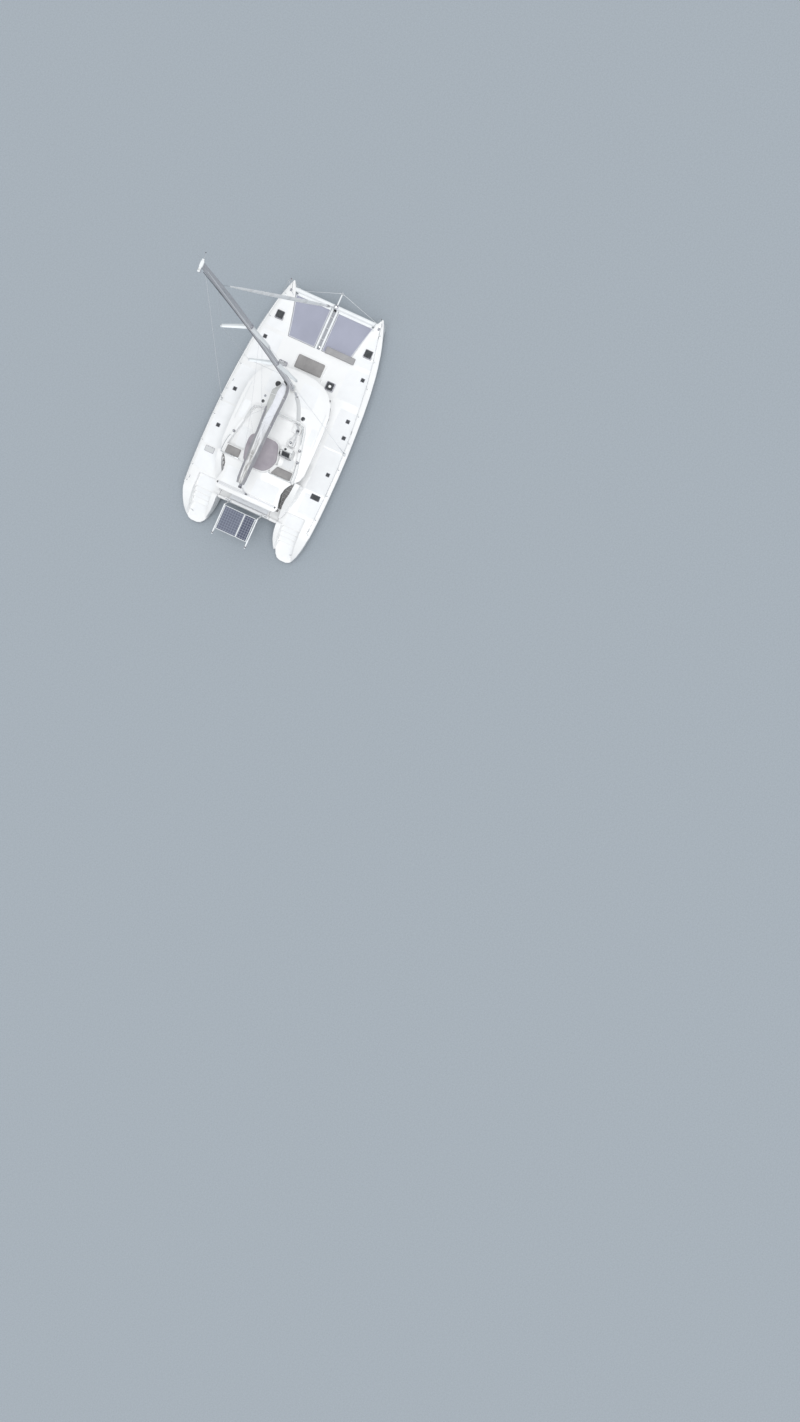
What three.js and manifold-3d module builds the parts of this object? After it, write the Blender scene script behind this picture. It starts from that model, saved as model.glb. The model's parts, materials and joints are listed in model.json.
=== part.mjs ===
// A 15.5 m cruising catamaran under bare poles, in millimetres.
// +X points to the bows, +Y to port and +Z up. The origin is on the waterline, amidships, on the centreline.
import * as THREE from "three";
import { mergeVertices } from "three/addons/utils/BufferGeometryUtils.js";
import Module from "manifold-3d";

const wasm = await Module();
wasm.setup();

// Driving dimensions
const HALF_LENGTH = 7770;
const DECK_Z = 1850;
const SOLE_Z = 1250; // saloon and cockpit floor
const BRIDGE_Z = 850; // underside of the bridgedeck
const HULL_CENTRE = 3050; // hull centreline from the boat's centreline
const INNER_Y = 2000; // inboard face of each hull, where the bridgedeck joins
const BRIDGE_BOW = 4650;
const BRIDGE_STERN = -5850;
const ROOF_Z = 3300; // underside of the roof
const ROOF_TOP = 3420;
const KEEL_TOP = -600;
const DRAFT = 1400;
const MAST_X = 1630;
const MAST_FOOT = 3450;
const MAST_HEAD = 25400;
const MAST_RAKE = 600; // how far the head stands aft of the foot
const MAST_BEND = 130; // how far its middle is bent forward of a straight line
const SEAT = 0.3; // gap where one piece rests on a slanted or cut face of another

// Materials
const paint = (color, roughness, metalness = 0) =>
  new THREE.MeshStandardMaterial({ color, roughness, metalness });
const gelcoat = paint(0xf4f4f2, 0.35);
const antifoul = paint(0x27466b, 0.8);
const alloy = paint(0xb9bcc0, 0.4, 0.8);
const whiteAlloy = paint(0xf0f2f3, 0.4, 0.2);
const steel = paint(0xd0d4d8, 0.2, 1);
const bronze = paint(0xa9793f, 0.35, 1);
const glass = paint(0x20262b, 0.08);
const acrylic = paint(0x34383b, 0.15);
const sailcloth = paint(0xeeeef0, 0.8);
const netting = paint(0xb4b8c8, 0.9);
const taupe = paint(0x93898c, 0.9);
const solar = paint(0x3a3f4d, 0.2);
const wood = paint(0x9a7a55, 0.6);

// A closed geometry as a solid, and back.
function solid(geometry) {
  const bare = geometry.clone();
  for (const name of ["normal", "uv"]) bare.deleteAttribute(name);
  const merged = mergeVertices(bare, 1e-2);
  const triVerts = new Uint32Array(merged.index.array);
  const mesh = { numProp: 3, vertProperties: merged.attributes.position.array, triVerts };
  return new wasm.Manifold(new wasm.Mesh(mesh));
}

function geometryOf(body) {
  const mesh = body.getMesh();
  const positions = new THREE.BufferAttribute(new Float32Array(mesh.vertProperties), 3);
  const geometry = new THREE.BufferGeometry().setAttribute("position", positions);
  geometry.setIndex(new THREE.BufferAttribute(new Uint32Array(mesh.triVerts), 1));
  return geometry;
}

const join = (...parts) => geometryOf(parts.map(solid).reduce((a, b) => a.add(b)));
const cut = (body, ...tools) =>
  geometryOf(tools.map(solid).reduce((a, b) => a.subtract(b), solid(body)));
const mirrored = (geometry) => turnedOut(geometry.clone().scale(1, -1, 1));

// The same surface with its faces turned round, after a mirror.
function turnedOut(geometry) {
  const flat = geometry.index ? geometry.toNonIndexed() : geometry;
  const p = flat.getAttribute("position");
  const swapped = new Float32Array(p.array);
  for (let i = 0; i < p.count; i += 3)
    for (let k = 0; k < 3; k++) {
      swapped[(i + 1) * 3 + k] = p.array[(i + 2) * 3 + k];
      swapped[(i + 2) * 3 + k] = p.array[(i + 1) * 3 + k];
    }
  return new THREE.BufferGeometry().setAttribute("position", new THREE.BufferAttribute(swapped, 3));
}

// Basic solids
function box(x0, x1, y0, y1, z0, z1) {
  const shape = new THREE.BoxGeometry(Math.abs(x1 - x0), Math.abs(y1 - y0), Math.abs(z1 - z0));
  return shape.translate((x0 + x1) / 2, (y0 + y1) / 2, (z0 + z1) / 2);
}

const outlineShape = (points) => new THREE.Shape(points.map(([a, b]) => new THREE.Vector2(a, b)));

function extruded(shape, depth) {
  return new THREE.ExtrudeGeometry(shape, { depth, bevelEnabled: false, curveSegments: 5 });
}

// A plan outline of x, y points between two heights.
const plate = (points, z0, z1) => extruded(outlineShape(points), z1 - z0).translate(0, 0, z0);

// A side profile of x, z points between two y.
function profileY(points, y0, y1) {
  const turn = new THREE.Matrix4().makeBasis(
    new THREE.Vector3(1, 0, 0), new THREE.Vector3(0, 0, 1), new THREE.Vector3(0, -1, 0));
  return extruded(outlineShape(points), y1 - y0).applyMatrix4(turn).translate(0, y1, 0);
}

// A cross profile of y, z points between two x.
function profileX(points, x0, x1) {
  const turn = new THREE.Matrix4().makeBasis(
    new THREE.Vector3(0, 1, 0), new THREE.Vector3(0, 0, 1), new THREE.Vector3(1, 0, 0));
  return extruded(outlineShape(points), x1 - x0).applyMatrix4(turn).translate(x0, 0, 0);
}

// A rectangle in plan with round corners.
function roundedPlate(x0, x1, y0, y1, radius, z0, z1) {
  const shape = new THREE.Shape();
  shape.moveTo(x0 + radius, y0);
  shape.lineTo(x1 - radius, y0);
  shape.absarc(x1 - radius, y0 + radius, radius, -Math.PI / 2, 0);
  shape.lineTo(x1, y1 - radius);
  shape.absarc(x1 - radius, y1 - radius, radius, 0, Math.PI / 2);
  shape.lineTo(x0 + radius, y1);
  shape.absarc(x0 + radius, y1 - radius, radius, Math.PI / 2, Math.PI);
  shape.lineTo(x0, y0 + radius);
  shape.absarc(x0 + radius, y0 + radius, radius, Math.PI, 1.5 * Math.PI);
  return extruded(shape, z1 - z0).translate(0, 0, z0);
}

// A round bar between two points.
function rod(from, to, radius, sides = 8, endRadius = radius) {
  const a = new THREE.Vector3(...from);
  const axis = new THREE.Vector3(...to).sub(a);
  const bar = new THREE.CylinderGeometry(endRadius, radius, axis.length(), sides);
  const up = new THREE.Vector3(0, 1, 0);
  bar.applyQuaternion(new THREE.Quaternion().setFromUnitVectors(up, axis.clone().normalize()));
  return bar.translate(a.x + axis.x / 2, a.y + axis.y / 2, a.z + axis.z / 2);
}

// A skin over rings of equal length, closed by flat ends. across gives the two axes that an end is seen in.
function loft(rings, across) {
  const count = rings[0].length;
  const triangles = [];
  for (let r = 0; r + 1 < rings.length; r++)
    for (let k = 0; k < count; k++) {
      const next = (k + 1) % count;
      const [a, b] = [rings[r][k], rings[r][next]];
      const [c, d] = [rings[r + 1][next], rings[r + 1][k]];
      triangles.push(a, b, c, a, c, d);
    }
  for (const [ring, flip] of [[rings[0], true], [rings.at(-1), false]]) {
    const seen = ring.map((p) => new THREE.Vector2(p[across[0]], p[across[1]]));
    const turned = THREE.ShapeUtils.isClockWise(seen);
    for (const [i, j, k] of THREE.ShapeUtils.triangulateShape(turned ? [...seen].reverse() : seen, [])) {
      const at = (n) => ring[turned ? ring.length - 1 - n : n];
      triangles.push(...(flip === turned ? [at(i), at(j), at(k)] : [at(i), at(k), at(j)]));
    }
  }
  const geometry = new THREE.BufferGeometry();
  geometry.setAttribute("position", new THREE.Float32BufferAttribute(triangles.flat(), 3));
  return solidIsInsideOut(geometry) ? turnedOut(geometry) : geometry;
}

function solidIsInsideOut(geometry) {
  return solid(geometry).volume() < 0;
}

// A plan outline moved inwards by a distance. The outline is open and runs from port aft round to starboard aft.
function inset(points, distance) {
  return points.map(([x, y], i) => {
    const [px, py] = points[Math.max(i - 1, 0)];
    const [nx, ny] = points[Math.min(i + 1, points.length - 1)];
    const before = new THREE.Vector2(x - px, y - py).normalize();
    const after = new THREE.Vector2(nx - x, ny - y).normalize();
    if (i === 0) before.copy(after);
    if (i === points.length - 1) after.copy(before);
    const way = new THREE.Vector2(before.y + after.y, -before.x - after.x).normalize();
    const reach = distance / Math.max(way.dot(new THREE.Vector2(before.y, -before.x)), 0.3);
    return [x + way.x * reach, y + way.y * reach];
  });
}

// A half outline on the port side, from aft to forward, completed on the starboard side.
const wholeOutline = (half) => [...half, ...half.filter(([, y]) => y > 0).reverse().map(([x, y]) => [x, -y])];

// Hull sections, port side, from stern to bow. Columns: x, then y of the inboard deck edge, outboard deck edge,
// inboard waterline and outboard waterline, then z of the canoe body and of the deck.
const HULL_SECTIONS = [
  [-HALF_LENGTH, 2850, 3260, 2870, 3240, 170, DECK_Z],
  [-7690, 2620, 3490, 2660, 3440, 90, DECK_Z],
  [-7500, 2430, 3690, 2500, 3600, 0, DECK_Z],
  [-7200, 2270, 3860, 2370, 3720, -90, DECK_Z],
  [-6800, 2110, 4010, 2260, 3820, -170, DECK_Z],
  [-6350, 2030, 4120, 2190, 3880, -240, DECK_Z],
  [BRIDGE_STERN, INNER_Y, 4195, 2150, 3920, -320, DECK_Z],
  [-4600, INNER_Y, 4270, 2130, 3960, -470, DECK_Z],
  [-3200, INNER_Y, 4300, 2120, 3980, -560, DECK_Z],
  [-1800, INNER_Y, 4300, 2120, 3980, KEEL_TOP, DECK_Z],
  [-400, INNER_Y, 4270, 2120, 3960, KEEL_TOP, DECK_Z],
  [1000, INNER_Y, 4200, 2130, 3910, KEEL_TOP, DECK_Z],
  [2300, INNER_Y, 4110, 2150, 3840, KEEL_TOP, DECK_Z],
  [3500, INNER_Y, 3995, 2210, 3740, -585, DECK_Z],
  [BRIDGE_BOW, INNER_Y, 3830, 2330, 3600, -550, DECK_Z],
  [5300, 2130, 3705, 2450, 3480, -520, 1880],
  [6000, 2290, 3550, 2590, 3330, -480, 1920],
  [6600, 2440, 3375, 2710, 3190, -440, 1962],
  [7100, 2580, 3200, 2810, 3070, -390, 2000],
  [7450, 2720, 3080, 2870, 2990, -260, 2026],
  [7650, 2830, 3005, 2900, 2950, 20, 2041],
  [HALF_LENGTH, 2890, 2950, 2910, 2935, 560, 2050],
];
// The canoe body below the waterline. Columns: share of the half beam from the hull's middle, share of its depth.
const BILGE = [[-0.97, 0.3], [-0.84, 0.62], [-0.58, 0.88], [-0.2, 1], [0.2, 1], [0.58, 0.88], [0.84, 0.62], [0.97, 0.3]];
// A column of the section table at any place along the hull.
function alongHull(x, column) {
  const next = HULL_SECTIONS.findIndex(([at]) => at >= x);
  const [a, b] = [HULL_SECTIONS[next - 1], HULL_SECTIONS[next]];
  return a[column] + ((b[column] - a[column]) * (x - a[0])) / (b[0] - a[0]);
}
const deckAt = (x) => alongHull(x, 6);

// The deck's outer edge is cut away on a slant, widest by the foredeck and narrow at the ends of the hull.
const SLANT = { least: 90, most: 200, from: -1000, to: 3300, shareOfBeam: 0.15, drop: 0.6 };
function slantAt(x, beam) {
  const forward = THREE.MathUtils.clamp((x - SLANT.from) / (SLANT.to - SLANT.from), 0, 1);
  return Math.min(SLANT.least + (SLANT.most - SLANT.least) * forward, SLANT.shareOfBeam * beam);
}

const TOPSIDE_FLARE = 0.7; // share of the flare reached at the knuckle

function hullRing([x, deckIn, deckOut, waterIn, waterOut, keel, deck]) {
  const water = Math.max(150, keel + 40);
  const [middle, half] = [(waterIn + waterOut) / 2, (waterOut - waterIn) / 2];
  const bilge = BILGE.map(([across, down]) => [x, middle + across * half, water + (keel - water) * down]);
  const knuckle = waterOut + TOPSIDE_FLARE * (deckOut - waterOut);
  const slant = slantAt(x, deckOut - deckIn);
  return [
    [x, deckIn, deck], [x, deckIn, BRIDGE_Z], [x, waterIn, water], ...bilge,
    [x, waterOut, water], [x, knuckle, 1000], [x, deckOut, deck - SLANT.drop * slant], [x, deckOut - slant, deck],
  ];
}

// Stern steps of each hull. Columns: forward end x, tread z.
const STERN_STEPS = [[-4950, 1500], [-5750, 1250], [-6050, 1000], [-6350, 750], [-6650, 500]];
const STEP_SIDES = [2330, 3560];
const PLATFORM_Z = STERN_STEPS.at(-1)[1];
const ABOVE = 2400; // over everything that a cut takes away
const FAR_AFT = -8000;
const BULWARK_LINE = [[-7640, PLATFORM_Z], [-7480, 760], [-7150, 1120], [-6700, 1480], [-6300, 1720], [-5950, DECK_Z + 1]];

function sternCuts() {
  const stairs = STERN_STEPS.map(([x, z]) => roundedPlate(FAR_AFT - 500, x, ...STEP_SIDES, 90, z, ABOVE));
  const gate = box(BRIDGE_STERN + 100, STERN_STEPS[0][0], INNER_Y - 10, STEP_SIDES[0] + 10, STERN_STEPS[0][1], ABOVE);
  const bulwark = profileY([[-5950, ABOVE], [FAR_AFT, ABOVE], [FAR_AFT, PLATFORM_Z], ...BULWARK_LINE], INNER_Y - 100, 4400);
  return [...stairs, gate, bulwark];
}

// Deck hatches with a lid. Columns: name, x, y, top of the frame, locker depth.
const HATCH_SIZE = 500;
const LOCKER_SIZE = 420;
const LID_THICK = 30;
const HATCHES = [
  ["hatch_fore", 5600, 2930, 1935, 750],
  ["hatch_deck", 2930, 1600, 1920, 560],
];
const squareAt = (x, y, size, z0, z1) => box(x - size / 2, x + size / 2, y - size / 2, y + size / 2, z0, z1);

function withHatch(body, [, x, y, top, depth]) {
  const framed = join(body, squareAt(x, y, HATCH_SIZE, DECK_Z - 20, top));
  return cut(framed, squareAt(x, y, LOCKER_SIZE, top - depth, top + 100));
}

const hatchLid = ([, x, y, top]) =>
  roundedPlate(x - HATCH_SIZE / 2, x + HATCH_SIZE / 2, y - HATCH_SIZE / 2, y + HATCH_SIZE / 2, 50, top + SEAT, top + LID_THICK);

// Crossbeam, centre beam and bowsprit
const BEAM_X = 7360;
const BEAM_Z = DECK_Z;
const BEAM_RADIUS = 135;
const BEAM_END = 2800;
const SPINE_HALF = 220;
const SPINE_DEPTH = 180;
const SPRIT_TIP = 8300;
const beamBar = (grow) =>
  rod([BEAM_X, -BEAM_END - grow, BEAM_Z], [BEAM_X, BEAM_END + grow, BEAM_Z], BEAM_RADIUS + grow, 16);

// Rudders and drive legs
const RUDDER_X = -6750;
const RUDDER_TOP = -330;
const RUDDER_FOOT = -1250;
const STOCK_RADIUS = 35;
const PIN_GAP = 0.4; // running clearance round a pin or shaft
const LEG_X = -4900;
const LEG_FOOT = -1000; // height of the propeller shaft
const legBody = (grow) => profileZ(foil(LEG_X + 190, 400 + grow * 2, 110 + grow * 2), LEG_FOOT, -300 + grow);
const stockBar = (grow, sides) =>
  rod([RUDDER_X, HULL_CENTRE, RUDDER_TOP - 50], [RUDDER_X, HULL_CENTRE, grow], STOCK_RADIUS + grow, sides);
const PIN_SIDES = 12;
const BORE_SIDES = 24;

// A symmetric foil in plan, its nose at x, around the hull's centreline.
function foil(nose, chord, thick) {
  const stations = [[0, 0.12], [0.06, 0.6], [0.3, 1], [0.65, 0.66], [1, 0.06]];
  const side = stations.map(([along, wide]) => [nose - along * chord, (wide * thick) / 2]);
  return [...side, ...side.map(([x, y]) => [x, -y]).reverse()].map(([x, y]) => [x, y + HULL_CENTRE]);
}
const profileZ = (points, z0, z1) => plate(points, z0, z1);

function hull() {
  let body = cut(loft(HULL_SECTIONS.map(hullRing), [1, 2]), ...sternCuts());
  body = withHatch(body, HATCHES[0]);
  return cut(body, beamBar(SEAT), legBody(SEAT), stockBar(PIN_GAP, BORE_SIDES));
}

function keel() {
  const top = foil(1650, 3200, 280).map(([x, y]) => [x, y, KEEL_TOP]);
  const foot = foil(1150, 2350, 240).map(([x, y]) => [x, y, -DRAFT]);
  return loft([foot, top], [0, 1]);
}

function rudder() {
  const top = foil(RUDDER_X + 110, 520, 80).map(([x, y]) => [x, y, RUDDER_TOP - 20]);
  const foot = foil(RUDDER_X + 60, 380, 50).map(([x, y]) => [x, y, RUDDER_FOOT]);
  return join(loft([foot, top], [0, 1]), stockBar(0, PIN_SIDES));
}

const POD_RADIUS = 75;
const POD_AFT = LEG_X - 260;
const SHAFT_RADIUS = 18;
const PROP_RADIUS = 230;
const PROP_GAP = 6;

function driveLeg() {
  const pod = rod([LEG_X + 220, HULL_CENTRE, LEG_FOOT], [POD_AFT, HULL_CENTRE, LEG_FOOT], 45, 10, POD_RADIUS);
  const [mouth, end] = [POD_AFT - 10, POD_AFT + 60].map((x) => [x, HULL_CENTRE, LEG_FOOT]);
  return cut(join(legBody(0), pod), rod(mouth, end, SHAFT_RADIUS + PIN_GAP, BORE_SIDES));
}

function propeller() {
  const hubFront = POD_AFT - PROP_GAP;
  const hub = rod([hubFront, 0, 0], [hubFront - 120, 0, 0], 70, 10, 40);
  const shaft = rod([hubFront - 10, 0, 0], [POD_AFT + 58, 0, 0], SHAFT_RADIUS, 12);
  const blades = [0, 1, 2].map((k) => {
    const outline = [[-28, 40], [28, 40], [62, 130], [45, 205], [0, PROP_RADIUS], [-50, 190], [-62, 110]];
    const blade = extruded(outlineShape(outline), 12).translate(0, 0, -6);
    blade.rotateY(THREE.MathUtils.degToRad(65)).translate(hubFront - 55, 0, 0);
    return blade.rotateX((k * 2 * Math.PI) / 3);
  });
  return join(hub, shaft, ...blades).translate(0, HULL_CENTRE, LEG_FOOT);
}

// Bridgedeck: cockpit and saloon floor, foredeck and the aft coaming
const FOREDECK_AFT = 2200;
const COAMING_TOP = 2000;
const COAMING_FRONT = -5700;
const PLINTH = [2720, 4040, -960, 960]; // base of the foredeck cushion
const PLINTH_TOP = 1990;

function bridgedeck() {
  const side = [
    [BRIDGE_STERN, BRIDGE_Z], [3900, BRIDGE_Z], [BRIDGE_BOW, 1400], [BRIDGE_BOW, DECK_Z], [FOREDECK_AFT, DECK_Z],
    [FOREDECK_AFT, SOLE_Z], [COAMING_FRONT, SOLE_Z], [COAMING_FRONT, COAMING_TOP], [BRIDGE_STERN, COAMING_TOP],
  ];
  let body = join(profileY(side, -INNER_Y, INNER_Y), roundedPlate(...PLINTH, 150, DECK_Z - 20, PLINTH_TOP));
  const gate = box(BRIDGE_STERN - 10, COAMING_FRONT + 10, 1450, INNER_Y + 10, SOLE_Z + 250, ABOVE);
  body = cut(body, gate, mirrored(gate));
  const [name, x, y, top, depth] = HATCHES[1];
  return [y, -y].reduce((made, at) => withHatch(made, [name, x, at, top, depth]), body);
}

// Saloon walls: half outline of the outer face, port side, from aft to forward.
const CABIN_HALF = [
  [-1750, 2450], [-300, 2450], [1050, 2430], [1680, 2260], [2120, 1920], [2400, 1430], [2540, 830], [2580, 270],
];
const CABIN_WALL = 60;
const WINDOW_Z = [2300, 3000];
const MULLION = 45;
const PANE_THICK = 8;

function ringBetween(outer, inner, z0, z1) {
  return plate([...outer, ...[...inner].reverse()], z0, z1);
}

function cabinWalls() {
  const outer = wholeOutline(CABIN_HALF);
  const wall = ringBetween(outer, inset(outer, CABIN_WALL), DECK_Z, ROOF_Z);
  const openings = [];
  for (let i = 0; i + 1 < outer.length; i++) {
    const [a, b] = [new THREE.Vector2(...outer[i]), new THREE.Vector2(...outer[i + 1])];
    const along = b.clone().sub(a).normalize();
    const across = new THREE.Vector2(along.y, -along.x).multiplyScalar(CABIN_WALL * 2);
    const start = a.clone().addScaledVector(along, i === 0 ? 250 : MULLION);
    const end = b.clone().addScaledVector(along, i + 2 === outer.length ? -250 : -MULLION);
    const corners = [start.clone().sub(across), start.clone().add(across), end.clone().add(across), end.clone().sub(across)];
    openings.push(plate(corners.map((p) => [p.x, p.y]), ...WINDOW_Z));
  }
  return cut(wall, ...openings);
}

function windowBand() {
  const outer = wholeOutline(CABIN_HALF.with(0, [-1600, 2450]));
  const face = inset(outer, CABIN_WALL + SEAT);
  return ringBetween(face, inset(face, PANE_THICK), WINDOW_Z[0] - 60, WINDOW_Z[1] + 60);
}

// Aft bulkhead of the saloon, its window, and the sliding door on the cockpit side
const BULKHEAD = [-1750, -1690];
const BULKHEAD_HALF = 2450 - CABIN_WALL - SEAT;
const DOORWAY = [-200, 760];
const DOORWAY_TOP = 3160;
const SILL_TOP = 1280;
const AFT_WINDOW = [-1850, -420];
const DOOR_X = [-1800, -1758];
const DOOR_LAP = 40;
const DOOR_TRAVEL = 880;

function bulkhead() {
  const half = BULKHEAD_HALF;
  const outline = [
    [-INNER_Y + SEAT, SOLE_Z], [INNER_Y - SEAT, SOLE_Z], [INNER_Y - SEAT, DECK_Z + SEAT], [half, DECK_Z + SEAT],
    [half, ROOF_Z], [-half, ROOF_Z], [-half, DECK_Z + SEAT], [-INNER_Y + SEAT, DECK_Z + SEAT],
  ];
  const wall = profileX(outline, ...BULKHEAD);
  const door = box(BULKHEAD[0] - 10, BULKHEAD[1] + 10, ...DOORWAY, SILL_TOP, DOORWAY_TOP);
  const window = box(BULKHEAD[0] - 10, BULKHEAD[1] + 10, ...AFT_WINDOW, ...WINDOW_Z);
  const railReach = [DOORWAY[0] - DOOR_LAP - 20, DOORWAY[1] + DOOR_LAP + DOOR_TRAVEL + 20];
  const sill = box(-1815, BULKHEAD[0] + 1, ...railReach, SOLE_Z, SILL_TOP);
  const head = box(-1815, BULKHEAD[0] + 1, ...railReach, DOORWAY_TOP + 40, DOORWAY_TOP + 70);
  return join(cut(wall, door, window), sill, head);
}

const bulkheadWindow = () =>
  box(BULKHEAD[1] + SEAT, BULKHEAD[1] + SEAT + PANE_THICK, AFT_WINDOW[0] - 40, AFT_WINDOW[1] + 40, WINDOW_Z[0] - 40, WINDOW_Z[1] + 40);

const DOOR_Y = [DOORWAY[0] - DOOR_LAP, DOORWAY[1] + DOOR_LAP];
const DOOR_Z = [SILL_TOP + 0.5, DOORWAY_TOP + 39];
const DOOR_STILE = 70;

function doorFrame() {
  const pane = box(DOOR_X[0] - 10, DOOR_X[1] + 10, DOOR_Y[0] + DOOR_STILE, DOOR_Y[1] - DOOR_STILE, DOOR_Z[0] + 120, DOOR_Z[1] - DOOR_STILE);
  return cut(box(...DOOR_X, ...DOOR_Y, ...DOOR_Z), pane);
}

function doorGlass() {
  const lap = SEAT;
  return box(-1785, -1775, DOOR_Y[0] + DOOR_STILE + lap, DOOR_Y[1] - DOOR_STILE - lap, DOOR_Z[0] + 120 + lap, DOOR_Z[1] - DOOR_STILE - lap);
}

// Roof over the saloon and cockpit, with its two aft posts. Half outline, port side, from aft to forward.
const ROOF_HALF = [
  [-5430, 1500], [-5400, 1900], [-5150, 2040], [-4790, 1950], [-4270, 1870], [-3900, 1950], [-3600, 2120], [-3370, 2320],
  [-3100, 2560], [-2700, 2690], [-1500, 2710], [0, 2700], [1000, 2620], [1650, 2420], [2150, 2060], [2480, 1600],
  [2660, 1000], [2720, 350],
];
const ROOF_CHAMFER = 60;
const POST_AT = [-5000, 1700];

function roof() {
  const outline = wholeOutline(ROOF_HALF);
  const tiers = [[ROOF_Z, ROOF_CHAMFER], [ROOF_Z + 30, 0], [ROOF_TOP - 35, 0], [ROOF_TOP, ROOF_CHAMFER]];
  const top = loft(tiers.map(([z, step]) => (step ? inset(outline, step) : outline).map(([x, y]) => [x, y, z])), [0, 1]);
  const pad = roundedPlate(MAST_X - 280, MAST_X + 280, -190, 190, 80, ROOF_TOP - 10, MAST_FOOT);
  const [x, y] = POST_AT;
  const posts = [y, -y].map((at) => rod([x, at, SOLE_Z], [x, at, ROOF_Z + 10], 38, 10));
  return join(top, pad, ...posts);
}

// Flybridge moulding: a coaming open aft, two benches and the sunbed base. Half outline of the coaming.
const FLY_HALF = [[-3480, 2330], [-2800, 2300], [-2100, 2150], [-1200, 1940], [-450, 1770], [-120, 1620], [0, 1250]];
const FLY_WALL = 130;
const FLY_TOP = 3870;
const BENCH_TOP = 3820;
const SUNBED_TOP = 3850;
const BENCH = [-3460, -2850];
// Plan of the sunbed: round at its corners, and cut back beside the helm seat.
const SUNBED = [
  [-1570, -450], [-1720, -700], [-2050, -830], [-2450, -950], [-2750, -990], [-3200, -820], [-3480, -560], [-3590, -250],
  [-3590, 500], [-3400, 880], [-3100, 1040], [-2500, 1150], [-1950, 1140], [-1700, 970], [-1570, 650],
];
const SUNBED_MIDDLE = [-2600, 80];

// A closed plan outline with each point drawn towards its middle.
const drawnIn = (points, [cx, cy], distance) =>
  points.map(([x, y]) => {
    const share = 1 - distance / Math.hypot(x - cx, y - cy);
    return [cx + (x - cx) * share, cy + (y - cy) * share];
  });
const HELM_SEAT = [[-3440, -2150], [-2870, -2150], [-2870, -1080], [-3440, -850]];

function flybridge() {
  const outer = wholeOutline(FLY_HALF);
  const coaming = ringBetween(outer, inset(outer, FLY_WALL), ROOF_TOP, FLY_TOP);
  const benches = [1, -1].map((s) => box(...BENCH, s * 800, s * 2210, ROOF_TOP, BENCH_TOP));
  const base = plate(SUNBED, ROOF_TOP, SUNBED_TOP);
  return join(coaming, ...benches, base);
}

// Helm: console on the starboard side of the flybridge, wheel on its aft face
const HELM_Y = -1350;
const WHEEL_X = -2270;
const WHEEL_Z = 4080;
const WHEEL_RADIUS = 380;
const CONSOLE_FRONT = -1700;
const consoleBody = () => {
  const side = [[0, ROOF_TOP], [-420, ROOF_TOP], [-470, 4170], [-290, 4390], [0, 4300]];
  const placed = side.map(([x, z]) => [CONSOLE_FRONT + x, z]);
  const bore = rod([WHEEL_X, HELM_Y, WHEEL_Z], [CONSOLE_FRONT - 380, HELM_Y, WHEEL_Z], SHAFT_RADIUS + PIN_GAP, BORE_SIDES);
  return cut(profileY(placed, HELM_Y - 340, HELM_Y + 340), bore);
};

function wheel() {
  const rim = new THREE.TorusGeometry(WHEEL_RADIUS, 14, 6, 24).rotateY(Math.PI / 2);
  const spokes = [0, 1, 2, 3, 4].map((k) =>
    rod([0, 0, 20], [0, 0, WHEEL_RADIUS], 9, 6).rotateX((k * 2 * Math.PI) / 5));
  const hub = rod([-25, 0, 0], [25, 0, 0], 45, 10);
  const shaft = rod([20, 0, 0], [CONSOLE_FRONT - 385 - WHEEL_X, 0, 0], SHAFT_RADIUS, PIN_SIDES);
  return join(rim, hub, shaft, ...spokes).translate(WHEEL_X, HELM_Y, WHEEL_Z);
}

// Mast with its spreaders and the gooseneck bracket. Spreader columns: z, half span, sweep aft.
const MAST_HALF = [170, 95];
const SPREADERS = [[9300, 1430, 430], [16300, 1270, 535]];
const upMast = (z) => (z - MAST_FOOT) / (MAST_HEAD - MAST_FOOT);
const mastX = (z) => MAST_X - MAST_RAKE * upMast(z) + MAST_BEND * 4 * upMast(z) * (1 - upMast(z));
const ovalRing = (x, z, [a, b]) =>
  Array.from({ length: 14 }, (_, k) => {
    const turn = (k * 2 * Math.PI) / 14;
    return [x + a * Math.cos(turn), b * Math.sin(turn), z];
  });
const GOOSE_X = 1330;
const GOOSE_Z = [4826, 5054];
const PIN_RADIUS = 20;

function mast() {
  const levels = [MAST_FOOT, 6500, 9300, 12800, 16300, 19000, 21000, 23200, MAST_HEAD];
  const share = (z) => 1 - 0.3 * Math.max(0, (z - 21000) / (MAST_HEAD - 21000));
  const tube = loft(levels.map((z) => ovalRing(mastX(z), z, MAST_HALF.map((h) => h * share(z)))), [0, 1]);
  const foot = loft([MAST_FOOT, MAST_FOOT + 50].map((z) => ovalRing(mastX(z), z, [230, 150])), [0, 1]);
  const spreaders = SPREADERS.flatMap(([z, half, sweep]) => [1, -1].map((s) => {
    const section = (x, y, chord, thick, rise) =>
      [[x + chord / 2, y, z + rise], [x, y, z + rise + thick / 2], [x - chord / 2, y, z + rise], [x, y, z + rise - thick / 2]];
    return loft([section(mastX(z), 0, 260, 50, 0), section(mastX(z) - sweep, s * half, 170, 40, 60)], [0, 2]);
  }));
  const crane = box(mastX(MAST_HEAD) - 330, mastX(MAST_HEAD) + 190, -40, 40, MAST_HEAD - 60, MAST_HEAD + 60);
  const ears = [GOOSE_Z[0] - 25 - SEAT, GOOSE_Z[1] + SEAT].map((z) => box(GOOSE_X - 35, GOOSE_X + 170, -35, 35, z, z + 25));
  const pin = rod([GOOSE_X, 0, GOOSE_Z[0] - 10], [GOOSE_X, 0, GOOSE_Z[1] + 10], PIN_RADIUS, 12);
  return join(tube, foot, ...spreaders, crane, ...ears, pin);
}

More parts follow.
